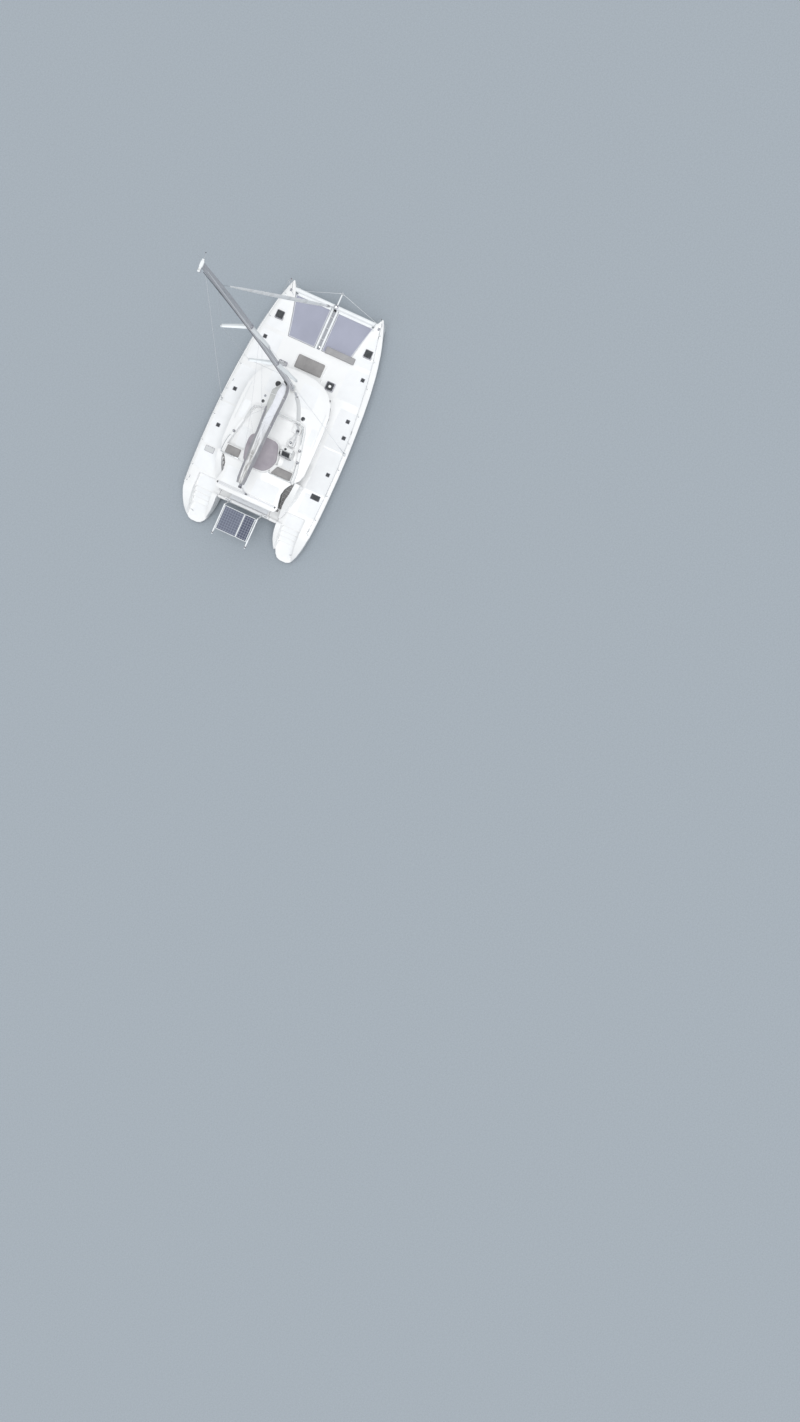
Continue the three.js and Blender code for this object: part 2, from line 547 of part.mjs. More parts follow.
// Boom, rising aft, and the sail stowed in its bag on top
const BOOM_FRONT = 1230;
const BOOM_AFT = -5050;
const BOOM_HALF = [75, 120];
const boomZ = (x) => 4940 + (620 * (BOOM_FRONT - x)) / (BOOM_FRONT - BOOM_AFT);
const BOOM_CORNER = [[0.6, -1], [1, -0.7], [1, 0.7], [0.6, 1], [-0.6, 1], [-1, 0.7], [-1, -0.7], [-0.6, -1]];

function boom() {
  const ring = (x) => BOOM_CORNER.map(([y, z]) => [x, y * BOOM_HALF[0], boomZ(x) + z * BOOM_HALF[1]]);
  const tongue = box(BOOM_FRONT - 10, GOOSE_X, -25, 25, GOOSE_Z[0] + 20, GOOSE_Z[1] - 20);
  const sleeve = rod([GOOSE_X, 0, GOOSE_Z[0]], [GOOSE_X, 0, GOOSE_Z[1]], 42, 12);
  const bore = rod([GOOSE_X, 0, GOOSE_Z[0] - 10], [GOOSE_X, 0, GOOSE_Z[1] + 10], PIN_RADIUS + PIN_GAP, BORE_SIDES);
  return cut(join(loft([ring(BOOM_AFT), ring(BOOM_FRONT)], [1, 2]), tongue, sleeve), bore);
}

// Bag sections. Columns: x, width, height above the boom.
const BAG_SECTIONS = [
  [-4850, 420, 230], [-4650, 510, 330], [-3500, 590, 480], [-1800, 680, 700], [-300, 820, 920], [800, 920, 1130], [1040, 860, 1230],
  [1100, 680, 1220],
];
// Outline of the bag's section. Columns: share of the half width, share of the height.
const BAG_SHAPE = [[0.2, 0], [0.55, 0.25], [0.85, 0.6], [1, 0.85], [0.86, 0.97], [0.4, 1]];

function sailBag() {
  const rings = BAG_SECTIONS.map(([x, width, height]) =>
    [...BAG_SHAPE, ...BAG_SHAPE.map(([y, z]) => [-y, z]).reverse()].map(([y, z]) => [x, (y * width) / 2, boomZ(x) + BOOM_HALF[1] + SEAT + z * height]));
  return loft(rings, [1, 2]);
}

// Forestay with the furled headsail. Distances run up the stay from the middle of the crossbeam.
const STAY_FOOT = new THREE.Vector3(BEAM_X, 0, BEAM_Z);
const STAY_TOP_Z = 22800;
const STAY_HEAD = new THREE.Vector3(mastX(STAY_TOP_Z), 0, STAY_TOP_Z);
const STAY_WAY = STAY_HEAD.clone().sub(STAY_FOOT).normalize();
const onStay = (s) => STAY_FOOT.clone().addScaledVector(STAY_WAY, s).toArray();
const DRUM_FOOT = 260;
const SAIL_FOOT = 450;
const SAIL_HEAD = 20200;
const STAY_RADIUS = 12;

// A body of revolution about the stay. Profile columns: radius, distance up the stay.
function roundOnStay(profile, sides) {
  const turned = new THREE.LatheGeometry(profile.map(([r, s]) => new THREE.Vector2(r, s)), sides);
  turned.applyQuaternion(new THREE.Quaternion().setFromUnitVectors(new THREE.Vector3(0, 1, 0), STAY_WAY));
  return turned.translate(...STAY_FOOT.toArray());
}

const furlerDrum = () =>
  roundOnStay([[0, DRUM_FOOT], [110, DRUM_FOOT], [110, 285], [70, 290], [70, 370], [105, 375], [105, 395], [45, 400], [45, SAIL_FOOT - SEAT], [0, SAIL_FOOT - SEAT]], 14);
const headsail = () =>
  roundOnStay([[0, SAIL_FOOT], [45, SAIL_FOOT], [95, 1700], [110, 6500], [95, 13000], [60, 18500], [28, SAIL_HEAD], [0, SAIL_HEAD]], 12);

function forestay(mastBody) {
  const wire = rod(onStay(SAIL_HEAD + SEAT), STAY_HEAD.toArray(), STAY_RADIUS, 8);
  return cut(wire, mastBody).translate(SEAT, 0, 0);
}

// Cap shrouds, from a chainplate on each side deck to the masthead
const CHAINPLATE = [-400, 4120];
const SHROUD_TOP_Z = 25000;

function shroud(mastBody) {
  const [x, y] = CHAINPLATE;
  const plateBlock = box(x - 45, x + 45, y - 20, y + 20, DECK_Z, DECK_Z + 110);
  const wire = rod([x, y, DECK_Z + 80], [mastX(SHROUD_TOP_Z), 0, SHROUD_TOP_Z], 9, 6);
  const trimmed = cut(wire, mastBody, box(x - 60, x + 60, y - 40, y + 40, DECK_Z + 70, DECK_Z + 95));
  return join(trimmed.translate(0, SEAT, 0), plateBlock);
}

function crossbeam() {
  const tang = rod(onStay(0), onStay(DRUM_FOOT - SEAT), 24, 8);
  return join(beamBar(0), tang);
}

function centreBeam() {
  const spine = box(BRIDGE_BOW, BEAM_X, -SPINE_HALF, SPINE_HALF, BEAM_Z - SPINE_DEPTH, BEAM_Z);
  const channel = box(BRIDGE_BOW - 10, BEAM_X, -100, 100, BEAM_Z - 130, BEAM_Z + 10);
  return cut(spine, channel, beamBar(SEAT));
}

const bowsprit = () => cut(rod([BEAM_X + 20, 0, BEAM_Z], [SPRIT_TIP, 0, BEAM_Z], 45, 12), beamBar(SEAT));

// Trampolines, laced between hull, centre beam and foredeck
const NET_Z = [1835, 1843];
const NET_BOW = 7150;

function trampoline() {
  const [aft, gap] = [BRIDGE_BOW + SEAT, SEAT];
  const stations = HULL_SECTIONS.map(([x]) => x).filter((x) => x > aft && x < NET_BOW);
  const outer = [aft, ...stations, NET_BOW].map((x) => [x, alongHull(x, 1) - gap]);
  return plate([[NET_BOW, SPINE_HALF + gap], [aft, SPINE_HALF + gap], ...outer], ...NET_Z);
}

// Davits on the aft coaming, with two solar panels across them
const DAVIT_Y = 1085;
const DAVIT_Z = 2860;
const DAVIT_AFT = -8070;
const DAVIT_KNEE = -6150;
const CROSS_TUBES = [-6260, -7610];
const PANEL_X = [-7670, -6190];

function davits() {
  const footX = (BRIDGE_STERN + COAMING_FRONT) / 2;
  const arms = [DAVIT_Y, -DAVIT_Y].flatMap((y) => [
    box(footX - 60, footX + 60, y - 60, y + 60, COAMING_TOP, COAMING_TOP + 30),
    rod([footX, y, COAMING_TOP + 25], [DAVIT_KNEE, y, DAVIT_Z], 42, 10),
    rod([DAVIT_KNEE + 20, y, DAVIT_Z], [DAVIT_AFT, y, DAVIT_Z], 42, 10),
  ]);
  const tubes = CROSS_TUBES.map((x) => rod([x, -DAVIT_Y, DAVIT_Z], [x, DAVIT_Y, DAVIT_Z], 28, 8));
  return join(...arms, ...tubes);
}
const TUBE_TOP = DAVIT_Z + 28;
const solarPanel = (y0, y1) => box(...PANEL_X, y0, y1, TUBE_TOP + SEAT, TUBE_TOP + 36);

// Guard rail of one side: stanchions along the edge of the flat deck, the top wire and the pulpit.
const STANCHIONS_X = [6850, 5300, 3700, 2000, 300, -1400, -3100, -4700, -5700];
const STANCHION_MARGIN = 40;
const RAIL_HEIGHT = 650;
function stanchionY(x) {
  const [deckIn, deckOut] = [alongHull(x, 1), alongHull(x, 2)];
  return deckOut - slantAt(x, deckOut - deckIn) - STANCHION_MARGIN;
}
// Columns: x, y, z.
const PULPIT = [[7450, 3060, 2690], [7620, 2920, 2710], [7450, 2800, 2690], [6950, 2640, 2640]];

function guardRail() {
  const tops = STANCHIONS_X.map((x) => [x, stanchionY(x), deckAt(x) + RAIL_HEIGHT]);
  const posts = tops.map(([x, y, z]) => rod([x, y, z - RAIL_HEIGHT + SEAT * 5], [x, y, z], 13, 6));
  const low = (p) => [p[0], p[1], p[2] - 15];
  const wires = tops.slice(1).map((p, i) => rod(low(tops[i]), low(p), 7, 4));
  const hoopPoints = [low(tops[0]), ...PULPIT];
  const hoop = PULPIT.map((p, i) => rod(hoopPoints[i], p, 14, 6));
  const elbows = PULPIT.map((p) => new THREE.IcosahedronGeometry(17, 1).translate(...p));
  const [x, y, z] = PULPIT.at(-1);
  const inner = rod([x, y, deckAt(x) + SEAT * 5], [x, y, z], 14, 6);
  return join(...posts, ...wires, ...hoop, ...elbows, inner);
}

// Stairs on each side of the cockpit, up to the flybridge, inside a wing that sweeps down from the roof.
const STAIR = { aft: -4950, tread: 220, count: 7, inner: 1750 };
const STAIR_RISE = (ROOF_TOP - SOLE_Z) / (STAIR.count + 1);
const WING_INNER = [[-3300, 2360], [-3700, 2320], [-4050, 2240], [-4400, 2110], [-4800, 2020], [-5500, 2010]];
const WING_OUTER = [[-5500, 2100], [-4800, 2400], [-4050, 2600], [-3300, 2680]];
const WING_TOP = [[-3300, ROOF_Z - 10], [-3700, 3240], [-4300, 2820], [-5000, 2200], [-5500, DECK_Z + 60]];

function wingInner(x) {
  const next = WING_INNER.findIndex(([at]) => at <= x);
  const [a, b] = [WING_INNER[Math.max(next - 1, 0)], WING_INNER[Math.max(next, 1)]];
  return a[1] + ((b[1] - a[1]) * (x - a[0])) / (b[0] - a[0]);
}

function stairs() {
  const treads = Array.from({ length: STAIR.count }, (_, k) => {
    const [x0, x1] = [STAIR.aft + k * STAIR.tread, STAIR.aft + STAIR.count * STAIR.tread];
    const top = SOLE_Z + (k + 1) * STAIR_RISE;
    const low = box(x0, x1, STAIR.inner, INNER_Y - SEAT, SOLE_Z, top);
    const places = [x0, ...WING_INNER.map(([x]) => x).filter((x) => x > x0 && x < x1).reverse(), x1];
    const edge = places.map((x) => [x, wingInner(x) + 20]);
    return top > DECK_Z + 50 ? [low, plate([[x1, INNER_Y - 5], [x0, INNER_Y - 5], ...edge], DECK_Z, top)] : [low];
  });
  const wing = plate([...WING_INNER, ...WING_OUTER], DECK_Z, ROOF_Z - 10);
  const over = profileY([...WING_TOP, [-5600, DECK_Z + 20], [-5600, 3400], [-3290, 3400]], 1900, 2800);
  return join(cut(wing, over), ...treads.flat());
}

// Mainsheet track along the aft edge of the roof
const traveller = () =>
  join(box(-5150, -5090, -1850, 1850, ROOF_TOP, ROOF_TOP + 40), box(-5180, -5060, -90, 90, ROOF_TOP + 35, ROOF_TOP + 85));

// Cockpit and saloon furniture
const SETTEE = { x: [-3390, -2000], y: [1380, INNER_Y], top: 1650 };
const AFT_BENCH = { x: [-5700, -5200], y: [-1300, 1300], top: 1650 };
const CUSHION = 100;
const seatBase = ({ x, y, top }) => box(...x, ...y, SOLE_Z, top);
const seatCushion = ({ x, y, top }) =>
  roundedPlate(x[0] + 15, x[1] - 15, y[0] + 15, y[1] - 15, 60, top, top + CUSHION);

function table(x0, x1, y0, y1, top) {
  const [x, y] = [(x0 + x1) / 2, (y0 + y1) / 2];
  const leg = rod([x, y, SOLE_Z], [x, y, top - 10], 60, 10);
  return join(roundedPlate(x0, x1, y0, y1, 120, top - 40, top), leg);
}

const galleyCounter = () => box(-1550, 1300, -1999, -1400, SOLE_Z, 2150);

function dinetteSettee() {
  const seat = box(400, 2150, 1350, 1999, SOLE_Z, 1700);
  const wing = box(1600, 2150, -200, 1400, SOLE_Z, 1700);
  return join(seat, wing);
}

// Assembly
const boat = new THREE.Group();

function add(name, geometry, material) {
  const mesh = new THREE.Mesh(geometry, material);
  mesh.name = name;
  boat.add(mesh);
}

function addPair(name, geometry, material) {
  add(name + "_port", geometry, material);
  add(name + "_starboard", mirrored(geometry), material.clone());
}

addPair("hull", hull(), gelcoat);
addPair("keel", keel(), antifoul);
add("bridgedeck", bridgedeck(), gelcoat);
add("cabin_walls", cabinWalls(), gelcoat);
add("window_band", windowBand(), glass);
add("cabin_bulkhead", bulkhead(), gelcoat);
add("bulkhead_window", bulkheadWindow(), glass);
add("door_frame", doorFrame(), alloy);
add("door_glass", doorGlass(), glass);
add("roof", roof(), gelcoat);
add("flybridge_moulding", flybridge(), gelcoat);
add("helm_console", consoleBody(), gelcoat);
add("helm_wheel", wheel(), steel);
add("sunbed_cushion", plate(drawnIn(SUNBED, SUNBED_MIDDLE, 20), SUNBED_TOP, 4000), taupe);
add("companion_cushion", roundedPlate(BENCH[0] + 20, BENCH[1] - 20, 1190, 2140, 60, BENCH_TOP, 3920), taupe);
add("helm_cushion", plate(HELM_SEAT, BENCH_TOP, 3920), taupe);
const mastBody = mast();
add("mast", mastBody, alloy);
add("boom", boom(), alloy);
add("sail_bag", sailBag(), sailcloth);
add("headsail", headsail(), sailcloth);
add("furler_drum", furlerDrum(), steel);
add("forestay", forestay(mastBody), steel);
addPair("shroud", shroud(mastBody), steel);
add("crossbeam", crossbeam(), whiteAlloy);
add("centre_beam", centreBeam(), whiteAlloy);
add("bowsprit", bowsprit(), steel);
addPair("trampoline", trampoline(), netting);
add("davit_frame", davits(), steel);
add("solar_panel_port", solarPanel(-290, 990), solar);
add("solar_panel_starboard", solarPanel(-990, -330), solar);
addPair("rudder", rudder(), antifoul);
addPair("saildrive", driveLeg(), alloy);
addPair("propeller", propeller(), bronze);
for (const hatch of HATCHES) addPair(hatch[0], hatchLid(hatch), acrylic);
addPair("rail", guardRail(), steel);
add("foredeck_cushion", roundedPlate(3080, 3970, -900, 900, 80, PLINTH_TOP, PLINTH_TOP + 120), taupe);
add("net_cushion", roundedPlate(4600, 5080, -2390, -430, 60, deckAt(5080) + SEAT, deckAt(5080) + 110), taupe);
add("cockpit_table", table(-3350, -2050, 350, 1150, 1960), wood);
add("cockpit_settee", seatBase(SETTEE), gelcoat);
add("settee_cushion", seatCushion(SETTEE), taupe);
add("aft_bench", seatBase(AFT_BENCH), gelcoat);
add("bench_cushion", seatCushion(AFT_BENCH), taupe);
add("galley_counter", galleyCounter(), wood);
add("dinette_settee", dinetteSettee(), taupe);
add("dinette_table", table(450, 1450, 350, 1150, 1960), wood);
addPair("stairs", stairs(), gelcoat);
add("traveller", traveller(), alloy);

export default boat;
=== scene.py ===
"""A 15.5 m cruising catamaran, dressed for the camera of an aerial photograph.

Metres, +X to the bows, +Y to port, +Z up, waterline at z = 0.
"""

import json
import math

import bmesh
import bpy
from mathutils import Matrix, Vector
from mathutils.bvhtree import BVHTree


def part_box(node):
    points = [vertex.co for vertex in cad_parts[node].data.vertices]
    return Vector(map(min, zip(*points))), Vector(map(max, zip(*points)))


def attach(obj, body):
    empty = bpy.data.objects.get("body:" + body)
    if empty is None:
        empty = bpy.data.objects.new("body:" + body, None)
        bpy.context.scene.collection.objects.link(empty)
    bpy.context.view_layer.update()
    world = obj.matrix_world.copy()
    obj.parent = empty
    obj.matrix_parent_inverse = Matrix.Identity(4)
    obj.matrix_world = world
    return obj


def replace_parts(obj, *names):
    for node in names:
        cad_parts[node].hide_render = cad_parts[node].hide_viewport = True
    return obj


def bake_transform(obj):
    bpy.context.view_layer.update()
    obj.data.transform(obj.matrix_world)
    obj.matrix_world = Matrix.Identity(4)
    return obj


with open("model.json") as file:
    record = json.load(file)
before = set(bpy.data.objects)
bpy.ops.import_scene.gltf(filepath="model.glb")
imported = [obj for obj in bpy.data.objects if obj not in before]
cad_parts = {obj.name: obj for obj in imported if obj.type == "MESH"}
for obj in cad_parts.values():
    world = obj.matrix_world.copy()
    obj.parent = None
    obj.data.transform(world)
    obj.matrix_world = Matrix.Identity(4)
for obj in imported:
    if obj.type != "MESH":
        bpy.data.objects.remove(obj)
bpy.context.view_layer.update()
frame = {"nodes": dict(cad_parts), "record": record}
nodes = frame["nodes"]

# Camera of the photograph: place, then its right, down and forward directions, and focal length in pixels
EYE = (-8.860, -15.664, 68.622)
RIGHT = (0.418706, -0.906527, -0.053795)
DOWN = (-0.905969, -0.421056, 0.043956)
AHEAD = (-0.062498, 0.030331, -0.997584)
FOCAL_PX = 1100
PHOTO_HEIGHT = 1422
SENSOR = 36

# The boat, as the frame has it
SIDES = {"port": 1, "starboard": -1}
DECK = 1.85
SOLE = 1.25
ROOF = 3.42
FLY_TOP = 3.87
BEAM_X = 7.36
BEAM_RADIUS = 0.135
BRIDGE_BOW = 4.65
MAST_FOOT = (1.63, 3.45)
MAST_HEAD = (1.03, 25.4)
MAST_BEND = 0.13
BOOM_FRONT = 1.23
BOOM_AFT = -5.05
BOOM_HALF = (0.075, 0.12)
BOOM_Z = 4.94  # at its front end
BOOM_RISE = 0.62
HELM = (-2.27, -1.35, 4.08)
STAY_HEAD_Z = 22.8
SPREADERS = [(9.3, 1.43, 0.43), (16.3, 1.27, 0.535)]  # height, half span, sweep aft
DECK_RISE = [  # x, height of the deck
    (-8, 1.85), (4.65, 1.85), (5.3, 1.88), (6, 1.92), (6.6, 1.962), (7.1, 2), (7.45, 2.026), (7.8, 2.052),
]
HULL_Y = 3.05  # middle of a hull under water
NET_Z = 1.839
NET_INBOARD = 0.22
NET_BOW = 7.15
NET_MARGIN = 0.04
WHEEL_RADIUS = 0.38
UP = Vector((0, 0, 1))


def make_camera():
    data = bpy.data.cameras.new("camera")
    data.sensor_width = SENSOR
    data.lens = FOCAL_PX / PHOTO_HEIGHT * SENSOR
    data.clip_end = 1000
    camera = bpy.data.objects.new("camera", data)
    bpy.context.scene.collection.objects.link(camera)
    turn = Matrix((RIGHT, [-v for v in DOWN], [-v for v in AHEAD])).transposed()
    camera.matrix_world = Matrix.Translation(EYE) @ turn.to_4x4()
    bpy.context.scene.camera = camera


def make_stage(floor_look):
    bpy.ops.mesh.primitive_plane_add(size=900)
    floor = bpy.context.object
    floor.name = "floor"
    floor.data.materials.append(floor_look)
    sun = bpy.data.lights.new("sun", "SUN")
    sun.energy = 1.6
    sun.angle = math.radians(35)
    lamp = bpy.data.objects.new("sun", sun)
    lamp.rotation_euler = Vector((0.12, 0.2, -1)).to_track_quat("-Z", "Y").to_euler()
    bpy.context.scene.collection.objects.link(lamp)
    world = bpy.data.worlds.new("studio")
    world.use_nodes = True
    world.node_tree.nodes["Background"].inputs["Color"].default_value = (0.95, 0.98, 1, 1)
    world.node_tree.nodes["Background"].inputs["Strength"].default_value = 0.71
    bpy.context.scene.world = world
    bpy.context.scene.view_settings.view_transform = "Standard"


# Materials


class Look:
    """One node material. Patterns are laid in the piece's own coordinates, in metres."""

    def __init__(self, name, color, roughness, metallic=0.0, **sockets):
        self.made = bpy.data.materials.new(name)
        self.made.use_nodes = True
        self.tree = self.made.node_tree
        self.shader = self.tree.nodes["Principled BSDF"]
        self.shader.inputs["Base Color"].default_value = (*color, 1)
        self.shader.inputs["Roughness"].default_value = roughness
        self.shader.inputs["Metallic"].default_value = metallic
        for key, value in sockets.items():
            self.shader.inputs[key.replace("_", " ")].default_value = value
        self.color = color
        self.place = self.node("ShaderNodeTexCoord").outputs["Object"]

    def node(self, kind, settings=(), **inputs):
        node = self.tree.nodes.new(kind)
        for key, value in dict(settings).items():
            setattr(node, key, value)
        for key, value in inputs.items():
            self.put(node.inputs[key.replace("_", " ")], value)
        return node

    def put(self, socket, value):
        if isinstance(value, bpy.types.NodeSocket):
            self.tree.links.new(value, socket)
        else:
            socket.default_value = value

    def axis(self, name):
        """Place along X, Y or Z."""
        return self.node("ShaderNodeSeparateXYZ", Vector=self.place).outputs[name]

    def stretched(self, scale, turn=0.0):
        mapping = self.node("ShaderNodeMapping", Vector=self.place, Scale=scale)
        mapping.inputs["Rotation"].default_value[2] = turn
        return mapping.outputs["Vector"]

    def noise(self, scale, detail=3.0, stretch=(1, 1, 1)):
        return self.node(
            "ShaderNodeTexNoise", Vector=self.stretched(stretch), Scale=scale, Detail=detail
        ).outputs["Fac"]

    def bands(self, width, direction="X", turn=0.0, thin=False):
        """Stripes one width apart, from 0 to 1."""
        place = self.stretched((1, 1, 1), turn)
        wave = self.node("ShaderNodeTexWave", {"bands_direction": direction}, Vector=place)
        wave.inputs["Scale"].default_value = math.pi / 10 / width
        if not thin:
            return wave.outputs["Fac"]
        return self.ramp(wave.outputs["Fac"], 0.9, 0.98)

    def ramp(self, value, low, high):
        """0 below low, 1 above high."""
        made = self.node("ShaderNodeMapRange", Value=value)
        made.inputs["From Min"].default_value = low
        made.inputs["From Max"].default_value = high
        return made.outputs["Result"]

    def math(self, operation, a, b):
        made = self.node("ShaderNodeMath", {"operation": operation})
        self.put(made.inputs[0], a)
        self.put(made.inputs[1], b)
        return made.outputs["Value"]

    def mix(self, share, a, b):
        made = self.node("ShaderNodeMix", {"data_type": "RGBA"})
        self.put(made.inputs["Factor"], share)
        self.put(made.inputs[6], a if isinstance(a, bpy.types.NodeSocket) else (*a, 1))
        self.put(made.inputs[7], b if isinstance(b, bpy.types.NodeSocket) else (*b, 1))
        return made.outputs[2]

    def paint(self, color):
        self.put(self.shader.inputs["Base Color"], color)
        return self

    def gloss(self, share, low, high):
        """Roughness from low to high, by a pattern."""
        made = self.node("ShaderNodeMapRange", Value=share)
        made.inputs["To Min"].default_value = low
        made.inputs["To Max"].default_value = high
        self.put(self.shader.inputs["Roughness"], made.outputs["Result"])
        return self

    def relief(self, height, depth):
        bump = self.node("ShaderNodeBump", Height=height, Strength=1.0, Distance=depth)
        self.put(self.shader.inputs["Normal"], bump.outputs["Normal"])
        return self

    def toned(self, share=0.06, scale=1.5):
        """Slight patches of a darker tone."""
        dark = tuple(c * (1 - share) for c in self.color)
        return self.mix(self.ramp(self.noise(scale), 0.35, 0.7), self.color, dark)


WHITE = (0.87, 0.872, 0.875)
NEW_SAIL = (0.8, 0.81, 0.85)
BLUE_BLACK = (0.018, 0.045, 0.1)
WORN_BLUE = (0.03, 0.07, 0.13)
DIAGONAL = 0.785  # an eighth of a turn, in radians


def scaled(color, share):
    return tuple(c * share for c in color)


def gelcoat_look(name="gelcoat_white", color=WHITE):
    look = Look(name, color, 0.3, Coat_Weight=0.35, Coat_Roughness=0.08)
    look.paint(look.toned(0.035, 0.8))
    look.gloss(look.noise(5, 2), 0.24, 0.42)
    return look.relief(look.noise(45, 2), 0.0004).made


def bottom_paint(look):
    return look.mix(look.ramp(look.noise(2.2, 5), 0.4, 0.62), BLUE_BLACK, WORN_BLUE)


def hull_look():
    """Topsides down to the boot stripe, antifouling below."""
    look = Look("hull_paint", WHITE, 0.3, Coat_Weight=0.3, Coat_Roughness=0.08)
    height = look.axis("Z")
    slime = look.mix(look.ramp(height, -0.22, -0.03), bottom_paint(look), (0.06, 0.085, 0.08))
    streak = look.ramp(look.noise(1.2, 4, (3, 3, 0.3)), 0.5, 0.85)
    topside = look.mix(look.math("MULTIPLY", streak, 0.5), look.toned(0.03, 0.7), (0.8, 0.81, 0.81))
    stripe = look.mix(look.ramp(height, 0.058, 0.062), slime, (0.05, 0.075, 0.12))
    look.paint(look.mix(look.ramp(height, 0.158, 0.162), stripe, topside))
    look.gloss(look.ramp(height, 0.055, 0.06), 0.85, 0.28)
    rough = look.math("MULTIPLY", look.noise(30, 4), look.ramp(height, 0.06, 0.05))
    return look.relief(rough, 0.002).made


def nonskid_look(name="nonskid", color=(0.86, 0.87, 0.885)):
    look = Look(name, color, 0.8)
    look.paint(look.toned(0.05, 1.3))
    studs = look.math("MULTIPLY", look.bands(0.012, "X", DIAGONAL), look.bands(0.012, "Y", DIAGONAL))
    return look.relief(studs, 0.0012).made


def drawn_metal(look, share, low, high):
    """Fine upright drawing marks; the colour and its darker tone are returned as one."""
    drawn = look.noise(6, 3, (8, 8, 0.4))
    look.gloss(drawn, low, high)
    look.relief(look.noise(60, 2, (6, 6, 0.3)), 0.0002)
    return look.mix(look.ramp(drawn, 0.35, 0.7), look.color, scaled(look.color, share))


def alloy_look(name="anodised_alloy", color=(0.36, 0.36, 0.4)):
    look = Look(name, color, 0.4, 0.75)
    return look.paint(drawn_metal(look, 0.86, 0.32, 0.48)).made


def mast_look():
    """Anodised tube with painted spreaders."""
    look = Look("mast_alloy", (0.56, 0.56, 0.59), 0.42, 0.35)
    tube = drawn_metal(look, 0.84, 0.35, 0.5)
    outboard = look.ramp(look.math("ABSOLUTE", look.axis("Y"), 0), 0.108, 0.116)
    return look.paint(look.mix(outboard, tube, (0.64, 0.67, 0.69))).made


def painted_alloy_look():
    """White paint with faint patches."""
    look = Look("painted_alloy", (0.84, 0.86, 0.875), 0.35, 0.0, Coat_Weight=0.2)
    look.paint(look.toned(0.07, 2.5))
    look.gloss(look.noise(7, 2), 0.28, 0.45)
    return look.relief(look.noise(80, 2), 0.0002).made


def steel_look(name="polished_steel", color=(0.64, 0.66, 0.68), low=0.12, high=0.26):
    look = Look(name, color, 0.2, 1.0)
    look.paint(look.toned(0.1, 9))
    return look.gloss(look.noise(14, 3), low, high).made


def bronze_look():
    look = Look("bronze", (0.42, 0.25, 0.09), 0.35, 1.0)
    patina = look.ramp(look.noise(16, 5), 0.45, 0.7)
    look.paint(look.mix(patina, (0.42, 0.25, 0.09), (0.12, 0.2, 0.14)))
    return look.gloss(patina, 0.28, 0.7).made


def glass_look(name="tinted_glass", color=(0.2, 0.24, 0.27), haze=(0.3, 0.33, 0.35)):
    look = Look(name, color, 0.03, 0.0, Transmission_Weight=0.75, IOR=1.45)
    salt = look.ramp(look.noise(3, 4), 0.55, 0.8)
    look.paint(look.mix(look.math("MULTIPLY", salt, 0.3), color, haze))
    return look.gloss(salt, 0.02, 0.09).made


def acrylic_look(name="smoked_acrylic", color=(0.035, 0.038, 0.042)):
    look = Look(name, color, 0.16, 0.0, Coat_Weight=0.5, Coat_Roughness=0.05)
    haze = look.ramp(look.noise(7, 4), 0.45, 0.8)
    look.paint(look.mix(haze, color, scaled(color, 1.9)))
    return look.gloss(haze, 0.12, 0.3).made


def cloth_look(name, color, faded, thread=0.004):
    look = Look(name, color, 0.92, 0.0, Sheen_Weight=0.25, Sheen_Roughness=0.5)
    patches = look.mix(look.ramp(look.noise(2.3, 4), 0.35, 0.68), color, faded)
    weave = look.math("ADD", look.bands(thread, "X"), look.bands(thread, "Y"))
    look.paint(look.mix(look.math("MULTIPLY", weave, 0.09), patches, scaled(color, 0.5)))
    return look.relief(look.math("ADD", weave, look.math("MULTIPLY", look.noise(25, 3), 3.0)), 0.0008).made


def sail_look(name, color, seam):
    look = Look(name, color, 0.62, 0.0, Sheen_Weight=0.1)
    seams = look.bands(seam, "DIAGONAL", 0.0, True)
    soft = look.mix(look.ramp(look.noise(1.8, 4), 0.35, 0.7), color, scaled(color, 0.9))
    look.paint(look.mix(look.math("MULTIPLY", seams, 0.4), soft, scaled(color, 0.7)))
    return look.relief(look.math("ADD", look.noise(14, 5), look.math("MULTIPLY", seams, 0.5)), 0.006).made


def weathered_fold_shade_sail_look():
    """White at the mast; towards the boom's end grey streaks along its length, partly weathering of the cloth
    and partly painted shade of its folds.
    """
    look = Look("weathered_sailcloth_painted_fold_shade", NEW_SAIL, 0.62, 0.0, Sheen_Weight=0.1)
    along = look.axis("X")
    # Painted shade: the grey streaks along the folds stand partly for their shade and partly for weathered
    # cloth.
    fold_shade_streaks = look.ramp(look.noise(5, 4, (0.3, 2.2, 1)), 0.42, 0.6)
    grey = look.mix(fold_shade_streaks, (0.42, 0.415, 0.41), (0.84, 0.84, 0.85))
    fresh = look.mix(look.ramp(look.noise(1.8, 4), 0.35, 0.7), NEW_SAIL, (0.71, 0.72, 0.77))
    look.paint(look.mix(look.ramp(along, -0.8, -3.0), fresh, grey))
    return look.relief(look.noise(14, 5), 0.006).made


def net_look():
    """A knotless net: cords on both diagonals; between them a darker tone, painted shade seen through the
    holes.
    """
    cord, shade_through_holes = (0.42, 0.432, 0.525), (0.26, 0.272, 0.345)
    look = Look("netting", cord, 0.9)
    mesh = look.math("MAXIMUM", look.bands(0.03, "X", DIAGONAL), look.bands(0.03, "Y", DIAGONAL))
    worn = look.mix(look.ramp(look.noise(0.9, 3), 0.35, 0.7), cord, scaled(cord, 0.9))
    look.paint(look.mix(look.ramp(mesh, 0.35, 0.65), shade_through_holes, worn))
    return look.relief(mesh, 0.004).made


